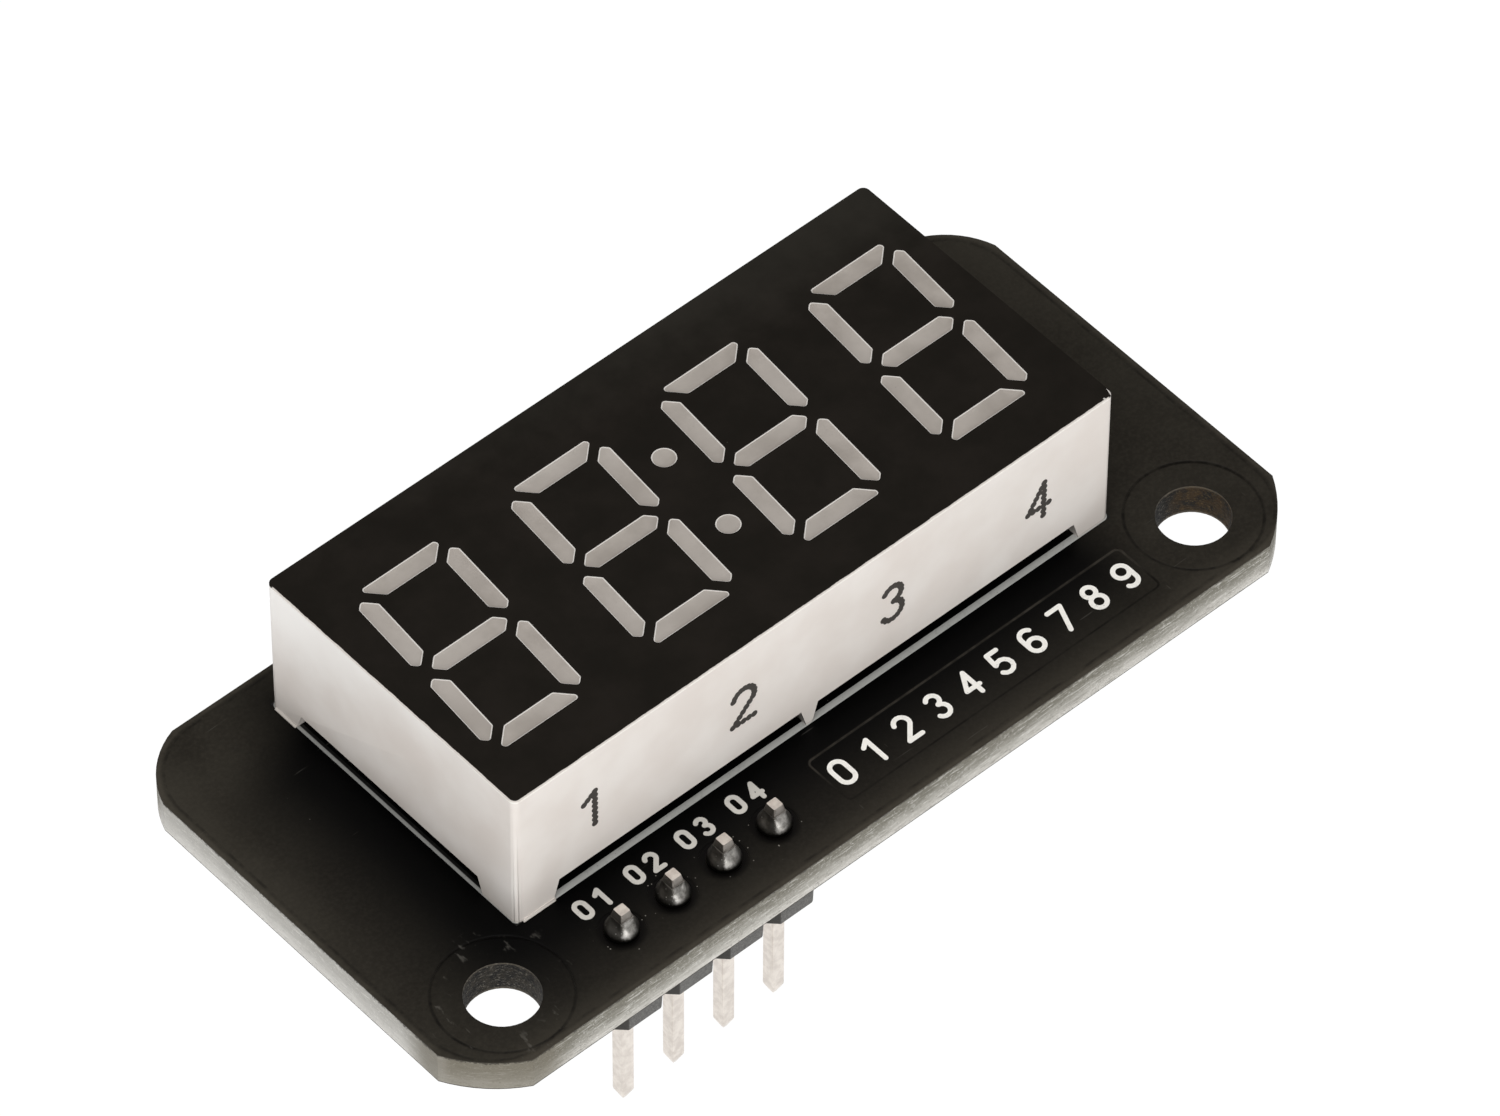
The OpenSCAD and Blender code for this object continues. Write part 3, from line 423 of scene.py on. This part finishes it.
def paint_flank_shade(f, colour, strength, flank_shade_colour):
    """Adds painted light and shade to the header's metal over the board: painted shade on its left flank,
    with small bright points in it, weaker on the right and under the tip, and a painted reflection of the
    black board that makes it nearly black at its foot."""
    x, y, z = f.split()
    across = (along_pitch(f) - 0.5) * pitch - (y - header_xy[0][1])
    patchy = f.noise(0.16, 4.0, 0.8, shift=19.0) - 0.5
    # Painted shade on the left flank, with the right flank left bright as painted light
    flank_shade = (across + patchy * 0.5).rise(0.2, 0.0).above((across + patchy).rise(0.45, 0.9) * 0.5)
    flank_shade = flank_shade.above(z.rise(pin_top - 0.5, pin_top - 0.35) * 0.4)
    above_board = z.rise(1.5, 1.58) * z.rise(pin_top, pin_top - 0.01)
    colour = f.mix(flank_shade * above_board * strength, colour, flank_shade_colour)
    points = f.specks(0.14, 0.03, 0.35, shift=2.0) * flank_shade * above_board
    colour = f.mix(points * 0.7, colour, srgb(205, 203, 198))
    # Painted reflection of the black board at the metal's foot
    foot = (z + patchy * 0.25).rise(1.98, 1.74) * above_board
    return f.mix(foot, colour, srgb(34, 32, 29))


def metal_finish(name, bright, dull, roughness, dents=0.01, blotch=0.6, flank_shade_strength=0.0, flank_shade_colour=None):
    """Tinned or soldered metal: cloudy colour, fine grain and shallow dents. The last two arguments give the
    strength and the colour of the painted shade on the header's metal over the board."""
    f = Finish(name, Metallic=1.0)
    cloud = f.noise(blotch, 4.0, 0.6)
    grain = f.noise(0.05, 2.0, 0.6, shift=4.0)
    colour = f.mix(cloud.rise(0.32, 0.68), dull, bright)
    colour = f.mix(grain.rise(0.6, 0.85) * 0.25, colour, dull)
    if flank_shade_strength:
        colour = paint_flank_shade(f, colour, flank_shade_strength, flank_shade_colour)
    f.set(Base_Color=colour, Roughness=cloud * 0.2 + (roughness - 0.1))
    f.relief(cloud * dents + grain * dents * 0.1)
    return f


def shell_finish():
    """Warm white moulded plastic: soft sink marks, a trace of handling dirt, fine satin grain. Painted light
    makes the left wall paler towards its upper rear and its front end, painted shade darkens the walls
    towards their foot and greys the bead there, and a painted highlight runs unevenly along the top edge.
    """
    f = Finish("shell_plastic", Specular_IOR_Level=0.35)
    x, y, z = f.split()
    left_wall = x.rise(face_low[0] + 0.15, face_low[0] + 0.05)
    cloud = f.noise(2.6, 3.0, 0.5)
    sink = f.noise(4.5, 2.0, 0.4, shift=9.0)
    grain = f.noise(0.06, 2.0, 0.6)
    colour = f.mix(cloud.rise(0.3, 0.75), srgb(230, 222, 215), srgb(238, 232, 226))
    # Painted light on the left wall, towards its upper rear and its front end
    top_rear = (y * 0.35 + z + cloud * 2.0).rise(9.5, 15.0)
    front_end = (y + z * 0.4 + cloud).rise(6.0, 3.5)
    colour = f.mix(top_rear.above(front_end * 0.5) * left_wall, colour, srgb(255, 252, 248))
    dirt = f.specks(1.1, 0.03, 0.2) + f.noise(0.5, 3.0, 0.6, shift=15.0).rise(0.7, 0.8) * 0.12
    colour = f.mix(dirt.below(1.0) * 0.4, colour, srgb(150, 138, 126))
    # Painted shade: the walls darken towards their foot, most on the left wall
    low_shade = (z + cloud * 0.8).rise(4.2, 1.7) * (left_wall * 0.45 + 0.35)
    colour = f.mix(low_shade, colour, srgb(196, 188, 180))
    # Painted shade greys the bead along the walls' very foot
    bead = z.rise(1.76, 1.7)
    colour = f.mix(bead * 0.5, colour, srgb(182, 176, 168))
    # Painted highlight, uneven, along the wall's top edge
    top_edge_highlight = z.rise(8.66, 8.72) * f.noise(0.3, 3.0, 0.6, shift=5.0).rise(0.3, 0.5)
    f.set(Base_Color=f.mix(top_edge_highlight * 0.8, colour, srgb(250, 246, 240)), Roughness=cloud * 0.12 + 0.42)
    f.relief(sink * 0.05 + grain * 0.0025)
    return f


def face_finish():
    """Matt black ink on the white moulding. Ink is missing along a thin uneven line at the outer edge. A
    painted sheen lightens it towards the rear.
    """
    f = Finish("face_ink", Specular_IOR_Level=0.07)
    x, y, z = f.split()
    depth = border_depth(f, face_low, face_high, display_corner)
    uneven = f.noise(0.7, 4.0, 0.7, stretch=(1, 1, 0))
    bare = (depth - uneven * 0.09).rise(0.016, -0.006) * x.rise(14.85, 14.75) * y.rise(16.0, 15.9)
    cloud = f.noise(2.2, 4.0, 0.6)
    grain = f.noise(0.07, 2.0, 0.6)
    ink = f.mix(cloud.rise(0.3, 0.75), srgb(28, 25, 21), srgb(35, 31, 27))
    # Painted sheen: the face is lighter towards its rear, a little more to the right
    rear = (y + x * 0.15 + cloud * 3.0).rise(15.0, 20.0)
    ink = f.mix(rear * 0.35, ink, srgb(62, 60, 54))
    dust = f.specks(1.2, 0.03, 0.3)
    ink = f.mix(dust * 0.3, ink, srgb(120, 114, 106))
    f.set(Base_Color=f.mix(bare, ink, srgb(232, 225, 218)), Roughness=0.72 - bare * 0.25 + grain * 0.08)
    f.relief(grain * 0.004 + cloud * 0.01)
    return f


def resin_finish():
    """Milky grey epoxy under a matt surface: soft clouds and a few tiny bubbles."""
    f = Finish("resin", Specular_IOR_Level=0.3)
    cloud = f.noise(1.3, 3.0, 0.55)
    wide = f.noise(5.0, 2.0, 0.5, shift=13.0)
    grain = f.noise(0.05, 2.0, 0.6)
    colour = f.mix(cloud.rise(0.3, 0.75), srgb(166, 158, 150), srgb(184, 176, 168))
    colour = f.mix(wide.rise(0.35, 0.7) * 0.5, colour, srgb(194, 187, 180))
    bubbles = f.specks(0.6, 0.035, 0.2)
    f.set(Base_Color=f.mix(bubbles * 0.35, colour, srgb(110, 102, 96)), Roughness=0.55 + grain * 0.1)
    f.relief(grain * 0.002 + cloud * 0.008)
    return f


def moulded_finish(name, dark, light, roughness, grain_size=0.07, chamfer_shade=0.0):
    """Moulding compound or laminate: fine mineral grain with pale points. The last argument is the strength
    of the painted shade on the left chamfer of each position along the header."""
    f = Finish(name, Specular_IOR_Level=0.3)
    grain = f.noise(grain_size, 3.0, 0.7)
    cloud = f.noise(1.2, 2.0, 0.5, shift=6.0)
    colour = f.mix(grain.rise(0.3, 0.8), dark, light)
    colour = f.mix(cloud.rise(0.5, 0.8) * 0.25, colour, light)
    if chamfer_shade:
        # Painted shade on the left chamfer of each position along the header
        colour = f.mix(along_pitch(f).rise(0.2, 0.17) * chamfer_shade, colour, srgb(34, 31, 27))
    f.set(Base_Color=colour, Roughness=grain * 0.15 + roughness)
    f.relief(grain * 0.006 + cloud * 0.01)
    return f


def ceramic_finish(name, dark, light, roughness):
    """Fired ceramic or glass coat: even colour with faint speckle."""
    f = Finish(name, Specular_IOR_Level=0.4)
    grain = f.noise(0.08, 3.0, 0.6)
    f.set(Base_Color=f.mix(grain.rise(0.35, 0.7), dark, light), Roughness=grain * 0.1 + roughness)
    f.relief(grain * 0.006)
    return f


def light_chip_finish():
    """Bare light-emitting chip: pale crystal."""
    f = Finish("light_chip", Specular_IOR_Level=0.6)
    grain = f.noise(0.1, 2.0, 0.5)
    f.set(Base_Color=f.mix(grain, srgb(214, 206, 120), srgb(236, 226, 168)), Roughness=grain * 0.2 + 0.2)
    return f


def floor_finish():
    """Plain pale floor, which glows so that the shadow on it stays faint."""
    f = Finish("floor", Roughness=0.9, Specular_IOR_Level=0.0)
    f.set(Base_Color=srgb(60, 60, 60), Emission_Color=(1, 1, 1, 1), Emission_Strength=1.0)
    return f


white_ink = srgb(246, 244, 238)
side_ink = srgb(66, 62, 58)
finishes = {
    "board_laminate": laminate_finish(),
    "solder_mask": mask_finish(),
    "board_print": print_finish("board_print", white_ink, srgb(206, 203, 196), srgb(188, 188, 184)),
    "tinned_copper": metal_finish("tinned_copper", srgb(208, 204, 196), srgb(160, 156, 148), 0.4,
                                  flank_shade_strength=0.9, flank_shade_colour=srgb(84, 80, 74)),
    "solder": metal_finish("solder", srgb(205, 202, 197), srgb(140, 137, 132), 0.45, dents=0.03, blotch=0.3,
                           flank_shade_strength=0.92, flank_shade_colour=srgb(70, 67, 62)),
    "shell_plastic": shell_finish(),
    "face_ink": face_finish(),
    "resin": resin_finish(),
    "side_ink": print_finish("side_ink", side_ink, side_ink, side_ink),
    "chip_board": moulded_finish("chip_board", srgb(176, 164, 120), srgb(206, 196, 158), 0.6),
    "light_chip": light_chip_finish(),
    "pin_metal": metal_finish("pin_metal", srgb(235, 228, 220), srgb(214, 206, 198), 0.42, dents=0.004,
                              blotch=0.35, flank_shade_strength=0.8, flank_shade_colour=srgb(104, 98, 91)),
    "header_plastic": moulded_finish("header_plastic", srgb(80, 79, 77), srgb(124, 123, 120), 0.6, 0.06,
                                     chamfer_shade=0.8),
    "chip_plastic": moulded_finish("chip_plastic", srgb(24, 24, 25), srgb(50, 50, 51), 0.62, 0.05),
    "lead_metal": metal_finish("lead_metal", srgb(214, 212, 207), srgb(170, 167, 161), 0.3, dents=0.004),
    "ceramic": ceramic_finish("ceramic", srgb(150, 118, 86), srgb(178, 146, 110), 0.45),
    "end_cap": metal_finish("end_cap", srgb(214, 212, 208), srgb(168, 165, 160), 0.36, dents=0.008,
                            blotch=0.3),
    "resistor_coat": ceramic_finish("resistor_coat", srgb(16, 16, 19), srgb(32, 32, 36), 0.25),
}


# Pieces

def ready(piece, slot, *nodes):
    """Gives a piece its finish and its body, and hides the CAD nodes that it stands for."""
    piece.data.materials.clear()
    piece.data.materials.append(finishes[slot].material)
    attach(piece, BODY)
    if nodes:
        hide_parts(*nodes)
    return piece


def new_object(name, data):
    """A new object in the scene, from its mesh, lamp or camera."""
    made = bpy.data.objects.new(name, data)
    bpy.context.scene.collection.objects.link(made)
    return made


def smooth(mesh, sharp_above=50):
    """Smooth shading, apart from edges that turn by more than the angle."""
    mesh.shade_smooth()
    mesh.set_sharp_from_angle(angle=math.radians(sharp_above))


def grid_faces(rows, columns, wrap_rows=False):
    """Four-sided faces between neighbouring points of a grid, whose columns close on themselves. They face
    outwards where the columns run anticlockwise about the way that the rows go."""
    row, column = np.meshgrid(np.arange(rows if wrap_rows else rows - 1), np.arange(columns), indexing="ij")
    next_row = (row + 1) % rows
    next_column = (column + 1) % columns
    corners = [row * columns + column, row * columns + next_column,
               next_row * columns + next_column, next_row * columns + column]
    return np.stack(corners, -1).reshape(-1, 4)


def grid_piece(name, slot, grids, *nodes, wrap_rows=False, sharp_above=50):
    """A piece from grids of points, each rows x columns x 3 in mm. The rows of a grid either go round to its
    first one, or end in one face at each end."""
    points = []
    faces = []
    start = 0
    for grid in grids:
        rows, columns = grid.shape[:2]
        faces += (start + grid_faces(rows, columns, wrap_rows)).tolist()
        if not wrap_rows:
            ring = start + np.arange(columns)
            faces += [ring[::-1].tolist(), (ring + (rows - 1) * columns).tolist()]
        points.append(grid.reshape(-1, 3))
        start += rows * columns
    mesh = bpy.data.meshes.new(name)
    mesh.from_pydata((np.vstack(points) * MM).tolist(), [], faces)
    smooth(mesh, sharp_above)
    ready(new_object(name, mesh), slot, *nodes)


def round_angles(columns):
    """The angles of a turned piece's columns, evenly spaced over one turn."""
    return np.linspace(0, 2 * math.pi, columns, endpoint=False)


def turned(place, angle, radii, levels):
    """Points round a vertical line at a place: x + r cos a, y + r sin a, z. Each row has its radii and its
    level, and the columns run through the angles."""
    x, y = place[:2]
    rings = np.broadcast_arrays(x + radii * np.cos(angle), y + radii * np.sin(angle), levels[:, None])
    return np.stack(rings, -1)


def merged_copy(node):
    """A bmesh copy of a CAD node, with its loose triangles merged and its flat faces joined."""
    work = bmesh.new()
    work.from_mesh(frame["nodes"][node].data)
    bmesh.ops.remove_doubles(work, verts=work.verts, dist=1e-4 * MM)
    bmesh.ops.dissolve_limit(work, angle_limit=math.radians(0.5), verts=work.verts, edges=work.edges)
    return work


def softened(node, width, segments=2, chosen=None):
    """A copy of a CAD node with its sharp edges rounded to a width in mm. chosen takes the middles of
    the edges as an array and says which to round."""
    work = merged_copy(node)
    middles = np.array([(e.verts[0].co + e.verts[1].co) / 2 for e in work.edges]) / MM
    turn = np.array([e.calc_face_angle(0.0) for e in work.edges])
    picked = turn > math.radians(25)
    if chosen is not None:
        picked &= chosen(middles)
    weight = work.edges.layers.float.new("bevel_weight_edge")
    for edge, share in zip(work.edges, picked.astype(float)):
        edge[weight] = share
    name = node + "_softened"
    mesh = bpy.data.meshes.new(name)
    work.to_mesh(mesh)
    work.free()
    smooth(mesh)
    piece = ready(new_object(name, mesh), slot_of[node], node)
    rounding = piece.modifiers.new("rounding", "BEVEL")
    rounding.limit_method = "WEIGHT"
    rounding.width = width * MM
    rounding.segments = segments
    rounding.use_clamp_overlap = True
    rounding.harden_normals = True


def outer_walls(middles):
    """Which edges lie on the display shell's outer surface, below its top."""
    reach = np.abs(middles[:, :2] - face_middle[:2]) - (face_high - face_low)[:2] / 2
    return (np.abs(reach.max(1)) < 0.02) & (middles[:, 2] < face_low[2] - 0.05)


def rounded_square(angle, power):
    """Distance from the middle to the edge of a square of half width 1 whose corners are rounded, at an
    angle: (|cos|^power + |sin|^power)^(-1/power). A power of 2 gives a circle."""
    return (np.abs(np.cos(angle)) ** power + np.abs(np.sin(angle)) ** power) ** (-1 / power)


def add_header_pins():
    """Square pins: rings of rounded squares whose half width follows the tapers at both tips, with a small
    bend where a taper begins."""
    bend = 0.03
    tip_low = 0.5
    tip_high = 0.3
    angle = round_angles(64)
    for k, (low, high) in enumerate(header_pins, 1):
        bottom = low[2]
        top = high[2]
        levels = np.array([bottom, bottom + bend, bottom + tip_low - bend, bottom + tip_low + bend,
                           *np.linspace(bottom + 2 * tip_low, top - 2 * tip_high, 12),
                           top - tip_high - bend, top - tip_high + bend, top])
        share = np.interp(levels, [bottom, bottom + bend, bottom + tip_low, top - tip_high, top],
                          [0.22, 0.34, 1, 1, 0.76])
        power = np.interp(share, [0.2, 0.7, 1], [5, 12, 12])
        half = (high - low)[0] / 2
        radii = half * share[:, None] * rounded_square(angle, power[:, None])
        pin = turned((low + high) / 2, angle, radii, levels)
        grid_piece("header_pin_%d_metal" % k, "pin_metal", [pin], "header_pin_%d" % k, sharp_above=30)


def add_header_solder():
    """Drops of solder: rings whose outline goes from a circle over the land to the square of the pin, with a
    shallow crease down each corner and low lumps, closed along the pin and through the plated hole."""
    land = 0.7
    hole = 0.5
    crease_depth = 0.012
    lump_height = 0.014
    foot = 0.02
    angle = round_angles(96)
    t = np.linspace(0, 1, 34)[:, None]
    outline = land * np.interp(t, [0, 0.04, 0.09, 0.15, 0.22, 0.3, 0.64, 0.85, 1],
                               [0.9, 0.955, 0.983, 0.986, 0.964, 0.926, 0.764, 0.674, 0.612])
    power = 2 + 10 * np.clip((t - 0.25) / 0.75, 0, 1) ** 3
    plain_drop = outline * 2 ** (1 / power - 0.5) * rounded_square(angle, power)
    corner = math.pi / 4 - np.abs((angle + math.pi / 4) % (math.pi / 2) - math.pi / 4)
    crease = crease_depth * np.exp(-(corner / 0.2) ** 2) * np.sin(np.pi * t ** 0.7)
    barrel = np.repeat([[hole], [hole], [land * 0.9]], len(angle), 1)
    for k, (low, high) in enumerate(header_pins, 1):
        node = "header_solder_%d" % k
        bottom, top = [end[2] for end in box_of(node)]
        phase = rng.uniform(0, 2 * math.pi, 3)
        lumps = (np.sin(3 * angle + phase[0]) + np.sin(2 * angle + phase[1] + 3 * t)
                 + 0.6 * np.sin(2 * angle + phase[2] + 5 * t))
        lumps = lump_height * lumps * np.sin(np.pi * t) ** 0.5
        pin = (high - low)[0] / 2 * rounded_square(angle, 12.0)
        drop = np.maximum(plain_drop - crease + lumps, pin)
        radii = np.vstack([pin, barrel, drop, pin])
        drop_levels = np.linspace(board_top + foot, top, len(drop))
        levels = np.concatenate([[bottom, bottom, board_top - 0.001, board_top], drop_levels, [top]])
        grid = turned((low + high) / 2, angle, radii, levels)
        grid_piece(node + "_drop", "solder", [grid], node, wrap_rows=True, sharp_above=70)


def add_display_joints():
    """Solder on the display's pins: a hollow cone from the land to the pin, turned about each pin, where
    r = pin + (land - pin)(1 - t)^2.3, with the fill of the plated hole above it."""
    pin = 0.25
    hole = 0.4
    land = 0.75
    height = 0.85
    angle = round_angles(40)
    t = np.linspace(0, 1, 16)[:, None]
    barrel = np.repeat([[hole], [hole], [pin]], len(angle), 1)
    grids = []
    for row in ("display_pins_front", "display_pins_rear"):
        low, high = box_of(row)
        for x in np.linspace(low[0] + pin, high[0] - pin, 6):
            phase = rng.uniform(0, 2 * math.pi, 2)
            tall = height * rng.uniform(0.9, 1.0)
            cone = pin + (land - pin) * (1 - t) ** 2.3
            cone = cone * (1 + 0.04 * np.sin(2 * angle + phase[0]) * (1 - t) * t * 4)
            radii = np.vstack([cone[::-1], barrel])
            levels = np.concatenate([-tall * t[::-1, 0], [0.001, board_top, board_top]])
            grids.append(turned((x, (low[1] + high[1]) / 2), angle, radii, levels))
    grid_piece("display_joints_turned", "solder", grids, "display_solder_joints", wrap_rows=True,
               sharp_above=60)


def add_resin():
    """The CAD resin with its window faces sunk a little: each point lies sag x (1 - e^(-d / edge)) below
    the top, where d is its distance from the window's outline."""
    sag = 0.03
    edge = 0.1
    shares = np.array([0.93, 0.8, 0.6, 0.3])
    work = merged_copy("display_resin")
    points = np.array([v.co for v in work.verts])
    top = points[:, 2].max() - 0.01 * MM
    windows = []
    faces = []
    for f in work.faces:
        group = windows if f.normal.z > 0.99 and f.verts[0].co.z > top else faces
        group.append([v.index for v in f.verts])
    work.free()
    extra = []
    for ring in windows:
        outline = points[ring]
        middle = outline.mean(0)
        start = len(points) + sum(len(e) for e in extra)
        inner = middle + (outline - middle)[None] * shares[:, None, None]
        block = np.vstack([inner.reshape(-1, 3), middle[None]])
        along = np.roll(outline, -1, 0) - outline
        away = block[:, None] - outline[None]
        share = np.clip((away * along).sum(-1) / (along ** 2).sum(-1), 0, 1)
        distance = np.linalg.norm(away - share[..., None] * along, axis=-1).min(1) / MM
        block[:, 2] -= sag * MM * (1 - np.exp(-distance / edge))
        extra.append(block)
        count = len(ring)
        index = np.concatenate([ring, start + np.arange(len(shares) * count)])
        faces += index[grid_faces(len(shares) + 1, count)].tolist()
        last = index[-count:]
        pole = np.full(count, start + len(shares) * count)
        faces += np.stack([last, np.roll(last, -1), pole], -1).tolist()
    mesh = bpy.data.meshes.new("display_resin_windows")
    mesh.from_pydata(np.vstack([points, *extra]).tolist(), [], faces)
    smooth(mesh, 40)
    ready(new_object("display_resin_windows", mesh), "resin", "display_resin")


# Rows of the short tracks at the board's right end, and the places where tracks go through the board
end_rows = (4.755, 7.295, 11.105, 13.645)
through_places = [(-4.62, 1.2), (-7.9, 5.5), *[(20.3, y) for y in end_rows]]


def track_routes():
    """Tracks on the underside, each as its width and the corners of its route: display pins to the chip's
    lands, the rear row mirrored from the front one, and the supply from the header."""
    near = [
        (0.25, (-6.35, 4.12), (-6.35, 2.6), (-5.85, 2.1), (7.0, 2.1), (8.385, 3.485), (8.9, 3.485)),
        (0.25, (-3.81, 4.12), (-3.81, 3.1), (-3.31, 2.6), (6.9, 2.6), (7.7, 3.4), (7.7, 4.3), (8.155, 4.755),
         (8.9, 4.755)),
        (0.25, (-1.27, 4.12), (-1.27, 3.6), (-0.77, 3.1), (6.7, 3.1), (7.3, 3.7), (7.3, 5.3), (8.025, 6.025),
         (8.9, 6.025)),
        (0.25, (6.35, 4.12), (6.35, 6.6), (7.045, 7.295), (8.9, 7.295)),
        (0.25, (3.81, 4.12), (3.81, 7.4), (4.97, 8.56), (8.9, 8.56)),
    ]
    far = [(width, *[(x, 2 * face_middle[1] - y) for x, y in route]) for width, *route in near]
    rest = [
        (0.25, (1.27, 4.12), (1.27, 5.0), (0.8, 5.47), (0.8, 6.6)),
        (0.25, (1.27, 14.28), (1.27, 12.6), (0.07, 11.4), (-2.4, 11.4)),
        (0.8, (-12.24, -0.65), (-12.24, 3.2), (-13.2, 4.16), (-13.2, 5.3)),
        (0.8, (-9.7, -0.65), (-9.7, 5.2), (-12.7, 8.2), (-13.2, 8.2)),
        (0.6, (-13.2, 8.2), (-13.2, 10.4), (-12.2, 11.4), (-4.0, 11.4)),
        (0.3, (-4.0, 9.0), (-4.9, 9.0), (-5.4, 8.5), (-5.4, 7.1), (-4.9, 6.6), (-4.0, 6.6)),
        (0.25, (-2.4, 9.0), (0.8, 9.0)),
        (0.25, (-2.4, 6.6), (0.8, 6.6)),
        (0.3, (2.4, 9.0), (2.4, 6.6)),
        (0.25, (-4.62, -0.65), (-4.62, 1.2)),
        (0.25, (-7.16, -0.65), (-7.16, 1.6), (-7.9, 2.34), (-7.9, 5.5)),
    ]
    short = [(0.25, (19.4, y), (20.3, y)) for y in end_rows]
    return near + far + rest + short


def add_tracks():
    """Copper tracks under the mask: a low flat-topped ridge carried along each route, with its corners
    mitred, and a low ring with a dimple where a track goes through the board. The side step at a corner is
    2 n / |n|^2, where n is the sum of the unit normals on both sides of it."""
    ridge = np.array([(-1, 0.01), (-1, -0.004), (-0.8, -0.018), (0.8, -0.018), (1, -0.004), (1, 0.01)])
    ring = np.array([(0.1, -0.004), (0.15, -0.018), (0.26, -0.018), (0.3, -0.004), (0.3, 0.01)])
    grids = []
    for width, *route in track_routes():
        route = np.array(route)
        step = np.diff(route, axis=0)
        step /= np.linalg.norm(step, axis=1)[:, None]
        both = np.vstack([step, step[-1:]]) + np.vstack([step[:1], step])
        side = 2 * np.stack([-both[:, 1], both[:, 0]], -1) / (both ** 2).sum(-1)[:, None]
        flat = route[:, None] + side[:, None] * ridge[None, :, :1] * width / 2
        height = np.broadcast_to(ridge[None, :, 1:], (*flat.shape[:2], 1))
        grids.append(np.concatenate([flat, height], -1))
    angle = round_angles(24)
    for place in through_places:
        grids.append(turned(place, angle, ring[:, :1], ring[:, 1]))
    grid_piece("underside_tracks", "solder_mask", grids, sharp_above=30)


# Stage, camera and light

def add_floor():
    """A plain pale floor under the pins' tips."""
    reach = 600.0
    level = header_pins[0][0][2] - 0.05
    corners = [(-reach, -reach, level), (reach, -reach, level), (reach, reach, level), (-reach, reach, level)]
    mesh = bpy.data.meshes.new("floor")
    mesh.from_pydata((np.array(corners) * MM).tolist(), [], [(0, 1, 2, 3)])
    mesh.materials.append(floor_finish().material)
    new_object("floor", mesh)


def direction(azimuth, elevation):
    """Unit vector from the object to a camera or lamp: azimuth 0 is in front, and 90 is right."""
    a = math.radians(azimuth)
    e = math.radians(elevation)
    return Vector((math.sin(a) * math.cos(e), -math.cos(a) * math.cos(e), math.sin(e)))


def add_camera():
    """The photograph's camera, which looks at CAMERA_AIM."""
    camera = new_object("camera", bpy.data.cameras.new("camera"))
    back = direction(CAMERA_AZIMUTH, CAMERA_ELEVATION)
    turn = back.to_track_quat("Z", "Y").to_matrix() @ Matrix.Rotation(math.radians(CAMERA_ROLL), 3, "Z")
    place = (Vector(CAMERA_AIM) + back * CAMERA_DISTANCE) * MM
    camera.matrix_world = Matrix.Translation(place) @ turn.to_4x4()
    camera.data.sensor_width = 36
    camera.data.lens = CAMERA_LENS
    camera.data.clip_start = 0.01
    camera.data.clip_end = 10
    bpy.context.scene.camera = camera


def add_lamp(name, azimuth, elevation, power):
    """A soft square lamp that faces the object."""
    away = direction(azimuth, elevation)
    lamp = bpy.data.lights.new(name, "AREA")
    lamp.shape = "SQUARE"
    lamp.size = LAMP_SIZE * MM
    lamp.energy = power
    turn = away.to_track_quat("Z", "Y").to_matrix()
    place = (Vector(CAMERA_AIM) + away * LAMP_DISTANCE) * MM
    new_object(name, lamp).matrix_world = Matrix.Translation(place) @ turn.to_4x4()


def add_sky():
    """Even pale light from all round."""
    world = bpy.data.worlds.new("studio")
    world.use_nodes = True
    background = world.node_tree.nodes["Background"].inputs
    background["Color"].default_value = (1.0, 0.99, 0.975, 1)
    background["Strength"].default_value = 0.25
    bpy.context.scene.world = world


# The object

for node, piece in frame["nodes"].items():
    piece.data.materials.clear()
    piece.data.materials.append(finishes[slot_of[node]].material)

add_header_pins()
add_header_solder()
add_display_joints()
add_resin()
add_tracks()

softened("display_shell", 0.06, 3, outer_walls)
softened("header_plastic", 0.06)
softened("driver_chip_body", 0.08)
softened("driver_chip_leads", 0.03)
for part in ("supply_capacitor", "bypass_capacitor", "line_capacitor_1", "line_capacitor_2",
             "pull_up_resistor_1", "pull_up_resistor_2"):
    softened(part, 0.03)
    softened(part + "_ends", 0.07, 3)

# The studio

add_floor()
add_camera()
add_sky()
add_lamp("left_lamp", -60, 45, 0.63)
add_lamp("front_lamp", -15, 15, 0.6)
add_lamp("top_lamp", 0, 88, 0.44)
bpy.context.scene.view_settings.view_transform = "Standard"
bpy.context.scene.view_settings.look = "None"
